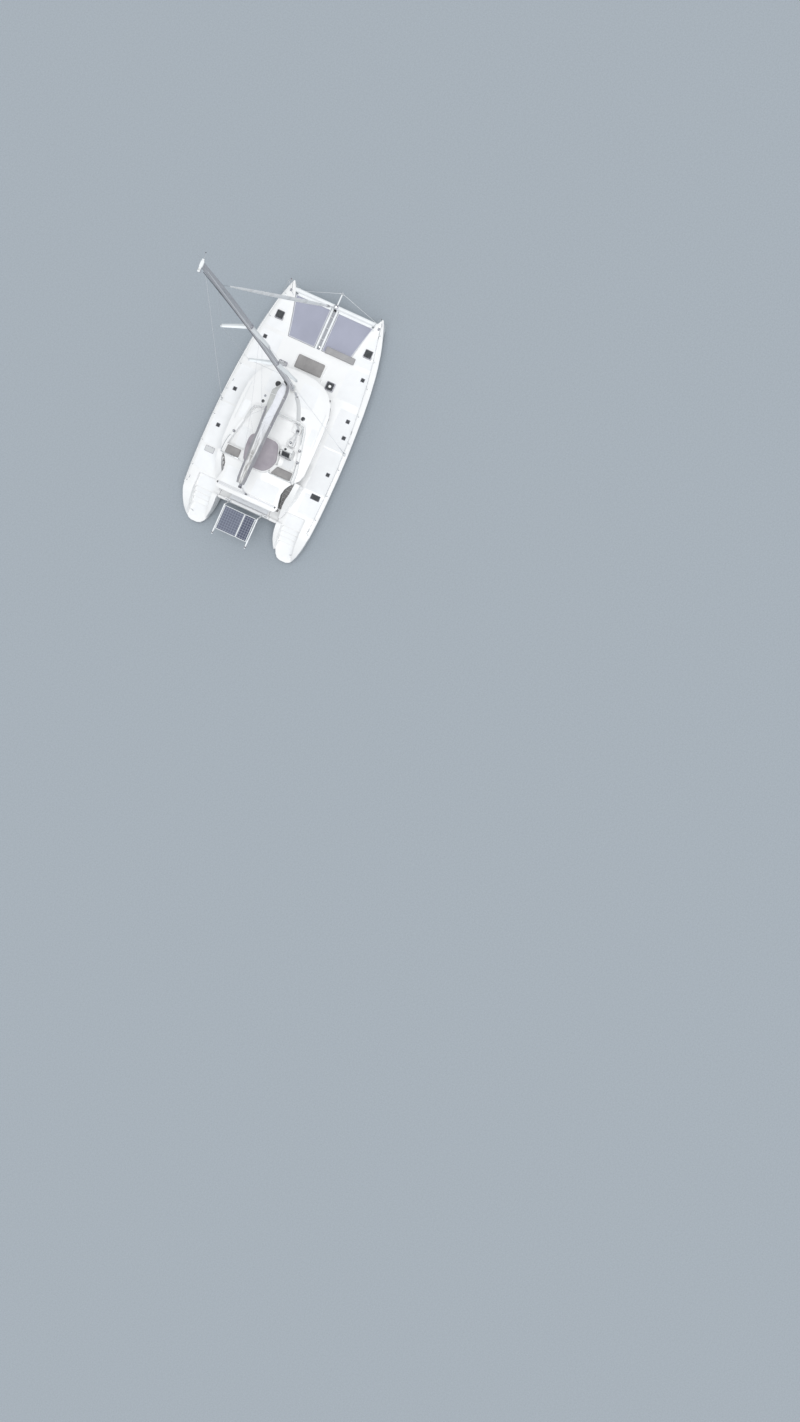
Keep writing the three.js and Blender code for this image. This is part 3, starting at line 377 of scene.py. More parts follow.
def cells_look(name="solar_cells", dark=(0.09, 0.105, 0.155), light=(0.13, 0.145, 0.2)):
    """Solar cells 156 mm square under glass; their blue-grey tones are lifted above the cells' own near black
    as painted sky reflection.
    """
    look = Look(name, dark, 0.3, 0.0, Coat_Weight=0.6, Coat_Roughness=0.06)
    tones = look.mix(look.noise(3.5, 2), dark, light)
    lines = look.math("MAXIMUM", look.bands(0.156, "X", 0.0, True), look.bands(0.156, "Y", 0.0, True))
    fingers = look.math("MULTIPLY", look.bands(0.039, "Y", 0.0, True), 0.4)
    look.paint(look.mix(look.math("MAXIMUM", lines, fingers), tones, (0.2, 0.22, 0.28)))
    return look.gloss(lines, 0.2, 0.4).made


def wood_look(name="teak", color=(0.4, 0.25, 0.13), plank=0.055):
    look = Look(name, color, 0.5, 0.0, Coat_Weight=0.15)
    grain = look.noise(7, 6, (0.25, 5, 5))
    body = look.mix(look.ramp(grain, 0.3, 0.7), color, scaled(color, 0.6))
    seam = look.bands(plank, "Y", 0.0, True)
    look.paint(look.mix(seam, body, (0.03, 0.028, 0.025)))
    look.gloss(grain, 0.35, 0.6)
    return look.relief(look.math("SUBTRACT", grain, seam), 0.0008).made


def rubber_look(name="black_fitting", color=(0.03, 0.031, 0.034), roughness=0.55):
    look = Look(name, color, roughness)
    worn = look.ramp(look.noise(20, 4), 0.5, 0.8)
    look.paint(look.mix(worn, color, tuple(c * 2.2 + 0.01 for c in color)))
    return look.relief(look.noise(120, 3), 0.0004).made


def antifoul_look():
    """Old bottom paint, patchy and rough."""
    look = Look("antifouling", (0.02, 0.05, 0.105), 0.85)
    look.paint(bottom_paint(look))
    return look.relief(look.noise(30, 4), 0.002).made


def rope_look(name, color, fleck):
    """Braided rope: fine oblique strands with a coloured fleck."""
    look = Look(name, color, 0.85)
    strands = look.node("ShaderNodeTexWave", {"bands_direction": "DIAGONAL"}, Vector=look.place)
    strands.inputs["Scale"].default_value = 45
    flecks = look.ramp(look.noise(160, 1), 0.55, 0.62)
    look.paint(look.mix(flecks, look.toned(0.15, 30), fleck))
    return look.relief(strands.outputs["Fac"], 0.0015).made


def plain_look(name, color, roughness=0.5, **sockets):
    """A small moulded part: its tone and gloss vary a little."""
    look = Look(name, color, roughness, **sockets)
    look.paint(look.toned(0.12, 12))
    return look.gloss(look.noise(20, 3), roughness * 0.8, min(1, roughness * 1.2)).made


GELCOAT = gelcoat_look()
LINER = gelcoat_look("liner_white", (0.74, 0.74, 0.73))
# Grey gelcoat; on the halyard cover its grey is painted shade along a white moulding, and it also serves as
# one hatch lens.
COVER = gelcoat_look("line_cover", (0.6, 0.61, 0.62))
HULL = hull_look()
NONSKID = nonskid_look()
# Painted shade: the stair treads and the cockpit sole are dark grey for the shade under the hardtop.
TREAD_PAINTED_SHADE = nonskid_look("tread_grey_painted_shade", (0.235, 0.23, 0.23))
CHANNEL = nonskid_look("channel_grey", (0.4, 0.41, 0.44))
ALLOY = alloy_look()
DARK_ALLOY = alloy_look("dark_alloy", (0.16, 0.16, 0.18))
PALE_ALLOY = alloy_look("pale_alloy", (0.66, 0.67, 0.69))
MAST_ALLOY = mast_look()
WHITE_ALLOY = painted_alloy_look()
STEEL = steel_look()
WIRE = steel_look("wire", (0.66, 0.68, 0.7), 0.3, 0.5)
ZINC = steel_look("zinc", (0.45, 0.46, 0.47), 0.5, 0.75)
BRONZE = bronze_look()
GLASS = glass_look()
CLEAR_GLASS = glass_look("clear_glass", (0.82, 0.85, 0.86), (0.88, 0.9, 0.9))
ACRYLIC = acrylic_look()
FROSTED = acrylic_look("frosted_acrylic", (0.4, 0.405, 0.42))
PANEL = acrylic_look("instrument_panel", (0.05, 0.052, 0.058))
TAUPE = cloth_look("taupe_cloth", (0.275, 0.266, 0.266), (0.34, 0.328, 0.326))
SUNPAD = cloth_look("sunpad_cloth", (0.345, 0.315, 0.352), (0.41, 0.375, 0.41))
NET_CLOTH = cloth_look("net_cushion_cloth", (0.34, 0.336, 0.345), (0.41, 0.405, 0.41))
PALE_CLOTH = cloth_look("pale_cloth", (0.78, 0.8, 0.84), (0.85, 0.87, 0.9))
HEADSAIL = sail_look("headsail_cloth", (0.88, 0.885, 0.9), 1.1)
# Sailcloth with painted fold shade towards the boom's end.
WEATHERED_FOLD_SHADE_SAIL = weathered_fold_shade_sail_look()
BAG = cloth_look("bag_canvas", (0.5, 0.51, 0.51), (0.58, 0.59, 0.58))
HEM = cloth_look("hem_webbing", (0.28, 0.28, 0.31), (0.35, 0.35, 0.37), 0.003)
NET = net_look()
BORDER = cloth_look("net_border", (0.7, 0.71, 0.76), (0.77, 0.78, 0.82), 0.003)
CELLS = cells_look()
# Painted reflection: a darker copy of the cells for the starboard panel, which reflects less of the sky.
DIM_REFLECTION_CELLS = cells_look("solar_cells_painted_dim_reflection", (0.04, 0.05, 0.09), (0.065, 0.073, 0.12))
TEAK = wood_look()
OAK = wood_look("oak", (0.5, 0.38, 0.25), 0.3)
RUBBER = rubber_look()
ANTIFOUL = antifoul_look()
ROPE = rope_look("grey_rope", (0.56, 0.57, 0.59), (0.2, 0.24, 0.36))
PALE_ROPE = rope_look("pale_rope", (0.72, 0.73, 0.74), (0.5, 0.53, 0.6))
DARK_ROPE = rope_look("dark_rope", (0.1, 0.1, 0.12), (0.4, 0.4, 0.42))
RED_LENS = plain_look("red_lens", (0.6, 0.02, 0.02), 0.1)
GREEN_LENS = plain_look("green_lens", (0.02, 0.4, 0.12), 0.1)
CLEAR_LENS = plain_look("clear_lens", (0.75, 0.75, 0.72), 0.08)
FLOOR = plain_look("floor", (0.34, 0.38, 0.42), 0.9)

make_camera()
make_stage(FLOOR)


# Shapes


def shrunk(outline, distance):
    """A closed plan outline moved inwards."""
    ahead = [*outline[1:], outline[0]]
    area = sum(a[0] * b[1] - b[0] * a[1] for a, b in zip(outline, ahead))
    turn = 1 if area > 0 else -1
    moved = []
    for i in range(len(outline)):
        before = (Vector(outline[i]) - Vector(outline[i - 1])).normalized()
        after = (Vector(ahead[i]) - Vector(outline[i])).normalized()
        inward = Vector((-before.y - after.y, before.x + after.x)) * turn
        if inward.length < 1e-6:
            inward = Vector((-after.y, after.x)) * turn
        inward.normalize()
        reach = distance / max(inward.dot(Vector((-after.y, after.x)) * turn), 0.4)
        moved.append(tuple(Vector(outline[i]) + inward * reach))
    return moved


def rounded(x0, x1, y0, y1, radius, steps=4):
    """A rectangle in plan, with rounded corners."""
    r = radius
    corners = [(x0 + r, y0 + r, 180), (x1 - r, y0 + r, 270), (x1 - r, y1 - r, 0), (x0 + r, y1 - r, 90)]
    points = []
    for x, y, start in corners:
        for k in range(steps + 1):
            turn = math.radians(start + 90 * k / steps)
            points.append((x + r * math.cos(turn), y + r * math.sin(turn)))
    return points


def flat_ring(outline, z):
    return [(x, y, z) for x, y in outline]


def stack(levels):
    """Level rings from pairs of a plan outline and its height."""
    return [flat_ring(outline, z) for outline, z in levels]


def smooth_path(points, steps=6):
    """A curve through the points."""
    places = [Vector(p) for p in points]
    path = []
    for i in range(len(places) - 1):
        a, b = places[i], places[i + 1]
        before = places[i - 1] if i else a * 2 - b
        after = places[i + 2] if i + 2 < len(places) else b * 2 - a
        for k in range(steps):
            t = k / steps
            bend = (2 * before - 5 * a + 4 * b - after) * t * t
            twist = (3 * a - before - 3 * b + after) * t ** 3
            path.append(0.5 * (2 * a + (b - before) * t + bend + twist))
    return [*path, places[-1]]


def mirrored(s, low, high):
    """The range from low to high on one side of the boat, in rising order."""
    return sorted((s * low, s * high))


def smoothed(data):
    for face in data.polygons:
        face.use_smooth = True


def built(name, mesh, looks):
    """Turns a bmesh into an object of the scene."""
    bmesh.ops.recalc_face_normals(mesh, faces=mesh.faces)
    data = bpy.data.meshes.new(name)
    mesh.to_mesh(data)
    mesh.free()
    for look in looks:
        data.materials.append(look)
    made = bpy.data.objects.new(name, data)
    bpy.context.scene.collection.objects.link(made)
    return made


class Piece:
    """One object gathered from closed shapes, each with its own material."""

    def __init__(self, name, body="boat", slot="gelcoat"):
        self.name, self.body, self.slot = name, body, slot
        self.mesh = bmesh.new()
        self.looks = []
        self.place = Matrix.Identity(4)

    def at(self, place=(0, 0, 0), way=UP, spin=0.0):
        """The shapes that follow stand at a place, their Z along a way."""
        turn = UP.rotation_difference(Vector(way).normalized()).to_matrix().to_4x4()
        self.place = Matrix.Translation(place) @ turn @ Matrix.Rotation(spin, 4, "Z")
        return self

    def skin(self, rings, look, loop=False):
        rows = [[self.mesh.verts.new(self.place @ Vector(p)) for p in ring] for ring in rings]
        count = len(rows)
        faces = []
        for r in range(count if loop else count - 1):
            a, b = rows[r], rows[(r + 1) % count]
            for k in range(len(a)):
                n = (k + 1) % len(a)
                faces.append(self.mesh.faces.new((a[k], a[n], b[n], b[k])))
        if not loop:
            faces.append(self.mesh.faces.new(rows[0][::-1]))
            faces.append(self.mesh.faces.new(rows[-1]))
        if look not in self.looks:
            self.looks.append(look)
        for face in faces:
            face.material_index = self.looks.index(look)
            face.smooth = True
        return self

    def slab(self, outline, low, high, look, soft=0.004):
        inner = shrunk(outline, soft)
        levels = [(inner, low), (outline, low + soft), (outline, high - soft), (inner, high)]
        return self.skin(stack(levels), look)

    def block(self, low, high, look, soft=0.004):
        """A box with soft edges between two corners."""
        (x0, y0, z0), (x1, y1, z1) = low, high
        corner = min(soft * 2, (x1 - x0) / 2.2, (y1 - y0) / 2.2)
        return self.slab(rounded(x0, x1, y0, y1, corner, 2), z0, z1, look, min(soft, (z1 - z0) / 2.2))

    def turned(self, profile, look, sides=20):
        """A body of revolution about its Z. Profile: radius, height."""
        turns = [2 * math.pi * k / sides for k in range(sides)]
        rings = [
            [(r * math.cos(t), r * math.sin(t), z) for t in turns]
            for r, z in profile
        ]
        return self.skin(rings, look)

    def knob(self, place, profile, look, sides=20, way=UP):
        """One turned fitting; the shapes that follow stand at the origin again."""
        self.at(place, way).turned(profile, look, sides)
        return self.at()

    def tube(self, points, radius, look, sides=8, loop=False):
        """A round bar along a path; the radius is one number, or one for each point."""
        path = [Vector(p) for p in points]
        count = len(path)
        radii = radius if isinstance(radius, (tuple, list)) else [radius] * count
        side, rings = None, []
        for i, point in enumerate(path):
            ahead = path[(i + 1) % count] if loop or i + 1 < count else point
            behind = path[i - 1] if loop or i else point
            way = (ahead - behind).normalized()
            if side is None:
                side = way.orthogonal().normalized()
            side = (side - way * side.dot(way)).normalized()
            other = way.cross(side)
            turns = [2 * math.pi * k / sides for k in range(sides)]
            rings.append([point + (side * math.cos(t) + other * math.sin(t)) * radii[i] for t in turns])
        return self.skin(rings, look, loop)

    def done(self, sharp=32):
        made = built(self.name, self.mesh, self.looks)
        made.data.set_sharp_from_angle(angle=math.radians(sharp))
        if self.body:
            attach(made, self.body)
        return made


def surface(data):
    return BVHTree.FromPolygons([v.co for v in data.vertices], [p.vertices for p in data.polygons])


trees = {}


def hit(node, start, way):
    """Where a line from start first meets a CAD node, with the surface's outward normal."""
    if node not in trees:
        trees[node] = surface(nodes[node].data)
    return trees[node].ray_cast(Vector(start), Vector(way))[:2]


def topside(side, x, z):
    """A place on the outboard face of a hull, and its normal."""
    s = SIDES[side]
    return hit(f"hull_{side}", (x, 6 * s, z), (0, -s, 0))


def between(table, x):
    """The values of a table of rising places, at a place between its rows."""
    for (x0, *before), (x1, *after) in zip(table, table[1:]):
        if x <= x1:
            return [a + (b - a) * (x - x0) / (x1 - x0) for a, b in zip(before, after)]
    return table[-1][1:]


def deck_z(x):
    return between(DECK_RISE, x)[0]


def flat_y(side, x):
    """Half breadth of the flat deck, up to the slant of its edge."""
    return abs(topside(side, x, deck_z(x) - 0.004)[0].y) - 0.007


def gunwale(side, x):
    """Where the slant meets the topside: the widest place under the deck."""
    places = [topside(side, x, deck_z(x) - 0.004 * k)[0] for k in range(1, 34)]
    return max(places, key=lambda p: abs(p.y))


def mast_x(z):
    (x0, z0), (x1, z1) = MAST_FOOT, MAST_HEAD
    share = (z - z0) / (z1 - z0)
    return x0 + (x1 - x0) * share + MAST_BEND * 4 * share * (1 - share)


def boom_z(x):
    return BOOM_Z + BOOM_RISE * (BOOM_FRONT - x) / (BOOM_FRONT - BOOM_AFT)


def span(low, high, count):
    return [low + (high - low) * k / (count - 1) for k in range(count)]


# CAD nodes that keep their shape


def dress(node, look, sharp=32):
    """Gives a CAD node its material, with smooth faces and sharp creases."""
    piece = nodes[node]
    data = piece.data
    if data.has_custom_normals:
        data.attributes.remove(data.attributes["custom_normal"])
    smoothed(data)
    for name in ("sharp_face", "sharp_edge"):
        if name in data.attributes:
            data.attributes.remove(data.attributes[name])
    weld = piece.modifiers.new("weld", "WELD")
    weld.merge_threshold = 0.0002
    split = piece.modifiers.new("split", "EDGE_SPLIT")
    split.split_angle = math.radians(sharp)
    split.use_edge_sharp = False
    data.materials.clear()
    data.materials.append(look)


LOOKS = {
    "gelcoat": GELCOAT, "white_alloy": WHITE_ALLOY, "alloy": ALLOY, "steel": STEEL, "bronze": BRONZE,
    "sailcloth": HEADSAIL, "netting": NET, "cushion_cloth": TAUPE, "antifouling": ANTIFOUL,
    "tinted_glass": GLASS, "acrylic": ACRYLIC, "solar_cells": CELLS, "wood": OAK,
}
OWN_LOOKS = {
    "bowsprit": WHITE_ALLOY, "davit_frame": WHITE_ALLOY, "traveller": PALE_ALLOY, "forestay": WIRE,
    "mast": MAST_ALLOY, "cockpit_table": TEAK, "solar_panel_starboard": DIM_REFLECTION_CELLS,
    "hatch_deck_port": FROSTED,
}
for name in SIDES:
    OWN_LOOKS |= {f"hull_{name}": HULL, f"shroud_{name}": WHITE_ALLOY, f"saildrive_{name}": ANTIFOUL}
for row in frame["record"]["subparts"]:
    dress(row["node"], OWN_LOOKS.get(row["node"], LOOKS[row["material_slot"]]))


# Soft goods

PRESSURE = 4
SWELL = 0.022  # no point of a cushion moves further than this
VOXEL = 0.026
WELT_RADIUS = 0.007
SEAM_DEPTH = 0.022
SEAM_WIDTH = 0.02
CROWN = 0.012


def bare_object(name, rings, look):
    """A closed skin as an object that rides on nothing yet."""
    mesh = bmesh.new()
    rows = [[mesh.verts.new(p) for p in ring] for ring in rings]
    for a, b in zip(rows, rows[1:]):
        for k in range(len(a)):
            n = (k + 1) % len(a)
            mesh.faces.new((a[k], a[n], b[n], b[k]))
    mesh.faces.new(rows[0][::-1])
    mesh.faces.new(rows[-1])
    return built(name, mesh, [look])


def soft_skin(name, rings, look, body, node=None):
    """A closed skin of cloth that rides on a body, in place of a CAD node if one is named."""
    made = bare_object(name, rings, look)
    smoothed(made.data)
    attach(made, body)
    if node:
        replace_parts(made, node)
    return made


def apply_modifiers(piece):
    depsgraph = bpy.context.evaluated_depsgraph_get()
    data = bpy.data.meshes.new_from_object(piece.evaluated_get(depsgraph))
    piece.modifiers.clear()
    piece.data = data


def blow_up(piece):
    """Inflates a closed cover with a short cloth simulation."""
    start = [v.co.copy() for v in piece.data.vertices]
    cloth = piece.modifiers.new("cloth", "CLOTH")
    cloth.settings.use_pressure = True
    cloth.settings.uniform_pressure_force = PRESSURE
    cloth.settings.effector_weights.gravity = 0
    cloth.settings.quality = 4
    cloth.settings.bending_stiffness = 1.5
    scene = bpy.context.scene
    for number in range(1, 21):
        scene.frame_set(number)
    apply_modifiers(piece)
    scene.frame_set(1)
    for vertex, old in zip(piece.data.vertices, start):
        step = vertex.co - old
        if step.length > SWELL:
            vertex.co = old + step * (SWELL / step.length)


def stuffed(name, outline, low, high, look, node=None, seams=()):
    """A foam cushion: its cover is blown up, laid flat on its seat, and sewn along seams.

    Seams are pairs of axis and place: ("x", -2.4) is a line across the boat.
    """
    inner = shrunk(outline, 0.016)
    top = high - 0.014
    levels = [
        (shrunk(inner, 0.025), low), (inner, low + 0.025),
        (inner, top - 0.03), (shrunk(inner, 0.03), top),
    ]
    piece = bare_object(name, stack(levels), look)
    remesh = piece.modifiers.new("remesh", "REMESH")
    remesh.mode, remesh.voxel_size = "VOXEL", VOXEL
    apply_modifiers(piece)
    blow_up(piece)
    xs = [p[0] for p in outline]
    ys = [p[1] for p in outline]
    for vertex in piece.data.vertices:
        along = (vertex.co.x - min(xs)) * (max(xs) - vertex.co.x)
        across = (vertex.co.y - min(ys)) * (max(ys) - vertex.co.y)
        crown = min(along, across)
        if vertex.co.z > (low + high) / 2:
            vertex.co.z += CROWN * min(1, max(0, crown) / 0.06)
            for axis, line in seams:
                away = getattr(vertex.co, axis) - line
                vertex.co.z -= SEAM_DEPTH * math.exp(-((away / SEAM_WIDTH) ** 2))
        vertex.co.z = min(max(vertex.co.z, low), high + CROWN)
    smooth = piece.modifiers.new("smooth", "SUBSURF")
    smooth.levels = smooth.render_levels = 1
    apply_modifiers(piece)
    smoothed(piece.data)
    piece.data.materials.clear()
    piece.data.materials.append(look)
    tree = surface(piece.data)
    welt = Piece(name + "_welt", slot="cushion_cloth")
    middle = Vector((sum(xs) / len(xs), sum(ys) / len(ys), 0))
    for z in (low + 0.022, high - 0.026):
        path = []
        for x, y in outline:
            inward = (middle - Vector((x, y, 0))).normalized()
            place = tree.ray_cast(Vector((x, y, z)) - inward * 0.2, inward)[0]
            if place:
                path.append(place)
        if len(path) > 5:
            welt.tube(path, WELT_RADIUS, look, 6, loop=True)
    welt.done()
    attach(piece, "boat")
    if node:
        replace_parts(piece, node)


SUNBED = [  # plan of the sun cushion
    (-1.595, -0.44), (-1.74, -0.685), (-2.06, -0.81), (-2.45, -0.93), (-2.745, -0.97), (-3.19, -0.8),
    (-3.463, -0.545), (-3.57, -0.243), (-3.57, 0.49), (-3.385, 0.867), (-3.09, 1.02), (-2.5, 1.13),
    (-1.955, 1.12), (-1.713, 0.957), (-1.59, 0.64),
]


def make_cushions():
    sunbed = [(p.x, p.y) for p in smooth_path([(x, y, 0) for x, y in [*SUNBED, SUNBED[0]]], 3)[:-1]]
    stuffed("sunbed_pad", sunbed, 3.852, 4.0, SUNPAD, "sunbed_cushion", seams=[("x", -2.35), ("x", -3.05)])
    companion = rounded(-3.44, -2.87, 1.19, 2.14, 0.06, 3)
    stuffed("companion_pad", companion, 3.822, 3.92, TAUPE, "companion_cushion", seams=[("y", 1.66)])
    helm = [
        (-3.44, -2.1), (-3.4, -2.15), (-2.91, -2.15), (-2.87, -2.1),
        (-2.87, -1.13), (-2.91, -1.07), (-3.38, -0.87), (-3.44, -0.9),
    ]
    stuffed("helm_pad", helm, 3.822, 3.92, TAUPE, "helm_cushion", seams=[("y", -1.55)])
    fore = rounded(3.08, 3.97, -0.9, 0.9, 0.09, 4)
    stuffed("foredeck_pad", fore, 1.992, 2.11, TAUPE, "foredeck_cushion", seams=[("y", -0.3), ("y", 0.3)])
    for name, corner, cloth, seams, fill in (
        ("net", (0.07, 4), NET_CLOTH, [("y", -1.08), ("y", -1.74)], 0.5),
        ("settee", (0.06, 3), TAUPE, [("x", -2.7)], 0.7),
        ("bench", (0.06, 3), PALE_CLOTH, [("y", -0.43), ("y", 0.43)], 0.7),
    ):
        node = f"{name}_cushion"
        low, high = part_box(node)
        outline = rounded(low.x, high.x, low.y, high.y, *corner)
        stuffed(f"{name}_pad", outline, low.z, high.z, cloth, node, seams)


def make_saloon_seats():
    """Dinette seats with their plinth."""
    base = Piece("dinette_base")
    for plan in ((0.4, 2.15, 1.35, 1.999), (1.6, 2.15, -0.2, 1.35)):
        base.slab(rounded(*plan, 0.03, 2), SOLE, 1.6, LINER, 0.006)
    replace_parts(base.done(), "dinette_settee")
    for name, plan, seam in (
        ("dinette_side_pad", (0.42, 2.13, 1.4, 1.98), ("x", 1.25)),
        ("dinette_fore_pad", (1.62, 2.13, -0.18, 1.33), ("y", 0.6)),
    ):
        stuffed(name, rounded(*plan, 0.05, 3), 1.602, 1.7, PALE_CLOTH, seams=[seam])


make_cushions()
make_saloon_seats()


# Hulls and side decks

SHEER_STATIONS = span(-5.85, 7.6, 60)
DECK_HATCHES = [  # x, y on the hull's side, half length, half width, on port and starboard
    (4.08, 3.25, 0.125, 0.125, (1, 1)),
    (0.48, 3.64, 0.125, 0.125, (1, 1)),
    (1.47, 3.46, 0.125, 0.125, (0, 1)),
    (-1.92, 3.68, 0.125, 0.125, (1, 1)),
    (-3.47, 3.55, 0.18, 0.3, (0, 1)),
]


def rub_rail(side):
    """A fine lip where the deck's slant begins, and the fender rail where it meets the topside."""
    s = SIDES[side]
    piece = Piece(f"rub_rail_{side}")
    lip = [(x, s * (flat_y(side, x) + 0.004), deck_z(x) - 0.003) for x in SHEER_STATIONS]
    fender = [gunwale(side, x) + Vector((0, s * 0.002, -0.012)) for x in SHEER_STATIONS]
    for path, radius in ((lip, 0.009), (fender, 0.022)):
        piece.tube(path, [radius * min(1, 0.3 + 2 * (7.7 - p[0])) for p in path], GELCOAT, 8)
    piece.done(50)


def side_windows(side):
    """Long dark panes in the topside, standing a little proud on a rubber bed."""
    s = SIDES[side]
    piece = Piece(f"hull_windows_{side}", slot="tinted_glass")
    for aft, fore in ((-3.4, -1.0), (0.1, 1.9), (3.2, 4.4)):
        for grow, sink, proud, look in ((0.02, 0.02, 0.004, RUBBER), (0.0, 0.01, 0.01, ACRYLIC)):
            rings = []
            for k, x in enumerate(span(aft - grow, fore + grow, 17)):
                end = min(k, 16 - k)
                half = (0.16 + grow) * min(1.0, (0.35 + 0.4 * end) ** 0.5)
                centre = 1.42 + 0.012 * (x - aft)
                places = [topside(side, x, z)[0] for z in span(centre - half, centre + half, 4)]
                outer = [place + Vector((0, s * proud, 0)) for place in places]
                rings.append([*outer, *[place - Vector((0, s * sink, 0)) for place in places[::-1]]])
            piece.skin(rings, look)
    piece.done()


def latch(piece, x, y, z, length, half_width, height):
    piece.block((x, y - half_width, z), (x + length, y + half_width, z + height), DARK_ALLOY, 0.003)


def round_hatch(piece, x, y, z, r, lens=ACRYLIC):
    rim = [(r, -0.005), (r, 0.01), (r - 0.008, 0.018), (r - 0.016, 0.018)]
    dome = [(r - 0.016, 0.012), (r - 0.016, 0.021), (r - 0.03, 0.026), (0.02, 0.03)]
    piece.knob((x, y, z), rim, WHITE_ALLOY, 30)
    piece.knob((x, y, z), dome, lens, 30)
    latch(piece, x + r - 0.05, y, z + 0.02, 0.03, 0.02, 0.014)


def small_hatch(piece, x, y, z, half_x, half_y, lens=ACRYLIC):
    """A flush hatch: alloy rim, dark lens and two latches."""
    for less, corner, low, high, look, soft in (
        (0, 0.04, -0.005, 0.016, ALLOY, 0.003),
        (0.022, 0.03, 0.01, 0.026, lens, 0.005),
    ):
        reach_x, reach_y = half_x - less, half_y - less
        plan = rounded(x - reach_x, x + reach_x, y - reach_y, y + reach_y, corner)
        piece.slab(plan, z + low, z + high, look, soft)
    for share in (-0.45, 0.45):
        latch(piece, x + half_x - 0.055, y + share * half_y, z + 0.024, 0.025, 0.018, 0.01)


def deck_hatches(side):
    s = SIDES[side]
    piece = Piece(f"deck_hatches_{side}", slot="acrylic")
    for x, y, half_x, half_y, sides in DECK_HATCHES:
        if sides[0 if s > 0 else 1]:
            small_hatch(piece, x, s * y, DECK, half_x, half_y)
    if s > 0:
        small_hatch(piece, -3.47, 3.55, DECK, 0.18, 0.3, COVER)
    piece.done()


def cleat(piece, x, y, z, turn=0.0):
    """A horn cleat 240 mm long."""
    piece.at((x, y, z), UP, turn)
    piece.slab(rounded(-0.07, 0.07, -0.022, 0.022, 0.02, 3), -0.004, 0.012, STEEL, 0.003)
    for dx in (-0.035, 0.035):
        piece.tube([(dx, 0, 0.005), (dx, 0, 0.05)], 0.011, STEEL)
    horns = smooth_path([(-0.12, 0, 0.064), (-0.05, 0, 0.052), (0.05, 0, 0.052), (0.12, 0, 0.064)], 3)
    piece.tube(horns, [0.008, *[0.013] * (len(horns) - 2), 0.008], STEEL)
    piece.at()


def cleats(side):
    s = SIDES[side]
    piece = Piece(f"cleats_{side}", slot="steel")
    for x in (6.72, 0.95, -5.45):
        slope = math.atan2(flat_y(side, x + 0.2) - flat_y(side, x - 0.2), 0.4)
        cleat(piece, x, s * (flat_y(side, x) - 0.12), deck_z(x), s * slope)
    outline = rounded(7.1, 7.27, -0.07, 0.07, 0.03, 3)
    plate = [(x, y + s * 2.9) for x, y in outline]
    levels = [(plate, -0.006), (plate, 0.006), (shrunk(plate, 0.006), 0.01)]
    piece.skin([[(x, y, deck_z(x) + lift) for x, y in ring] for ring, lift in levels], ALLOY)
    bollard = [(0.032, 0.005), (0.032, 0.02), (0.022, 0.035), (0.022, 0.06), (0.032, 0.075)]
    for x in (7.135, 7.235):
        piece.knob((x, s * 2.9, deck_z(x)), bollard, STEEL, 14)
    piece.done()


def nonskid_panels(side):
    """Thin textured fields on the deck, clear of its edges and fittings."""
    s = SIDES[side]
    piece = Piece(f"nonskid_{side}")
    for aft, fore, inboard in (
        (-4.75, -3.4, 2.85), (-3.2, -0.5, 2.74), (-0.4, 2.05, 2.74),
        (2.5, 4.5, 2.2), (4.75, 5.28, 2.22), (5.92, 6.6, 2.6),
    ):
        stations = span(aft, fore, 7)
        inner = [(x, max(inboard, abs(inner_y(side, x)) + 0.12)) for x in stations]
        outer = [(x, flat_y(side, x) - 0.1) for x in stations]
        outline = [(x, s * y) for x, y in [*inner, *outer[::-1]]]
        low = [(x, y, deck_z(x) - 0.004) for x, y in outline]
        high = [(x, y, deck_z(x) + 0.003) for x, y in shrunk(outline, 0.004)]
        piece.skin([low, high], NONSKID)
    piece.done()


def inner_y(side, x):
    """The inboard edge of a hull's deck; abaft the nets it is where the bridgedeck joins."""
    if x < BRIDGE_BOW:
        return 2.0
    s = SIDES[side]
    return hit(f"hull_{side}", (x, 0, DECK - 0.03), (0, s, 0))[0].y


def stern_steps(side):
    """Pads on the stern steps and the mooring cleat."""
    s = SIDES[side]
    piece = Piece(f"stern_pads_{side}")
    edges = [-4.95, -5.75, -6.05, -6.35, -6.65, -7.45]
    for fore, aft, z in zip(edges, edges[1:], (1.5, 1.25, 1.0, 0.75, 0.5)):
        breadth = (2.62, 3.42) if aft < -7 else (2.42, 3.47)
        outline = rounded(aft + 0.04, fore - 0.03, *mirrored(s, *breadth), 0.04, 3)
        piece.slab(outline, z - 0.004, z + 0.005, NONSKID, 0.002)
    cleat(piece, -7.2, s * 3.4, 0.5, 1.2 * s)
    piece.done()


STANCHIONS = [6.85, 5.3, 3.7, 2.0, 0.3, -1.4, -3.1, -4.7, -5.7]


def lifelines(side):
    """Stanchion feet, caps and the middle wire of the guard rail."""
    s = SIDES[side]
    piece = Piece(f"lifelines_{side}", slot="steel")
    feet = [(x, s * (flat_y(side, x) - 0.04), deck_z(x)) for x in STANCHIONS]
    socket = [(0.036, -0.004), (0.036, 0.006), (0.022, 0.012), (0.019, 0.09), (0.016, 0.095)]
    cap = [(0.016, 0), (0.018, 0.02), (0.018, 0.035), (0.008, 0.045)]
    for x, y, z in feet:
        piece.knob((x, y, z), socket, STEEL, 14)
        piece.knob((x, y, z + 0.62), cap, STEEL, 12)
    middle = [(x, y, z + 0.33) for x, y, z in feet]
    piece.tube([(7.42, s * 3.03, 2.35), *middle], 0.005, WIRE, 6)
    piece.tube([(7.42, s * 3.04, 2.02), (7.44, s * 3.055, 2.69)], 0.012, STEEL)
    piece.done()


for name in SIDES:
    rub_rail(name)
    side_windows(name)
    deck_hatches(name)
    cleats(name)
    nonskid_panels(name)
    stern_steps(name)
    lifelines(name)


# Lids of the large hatches


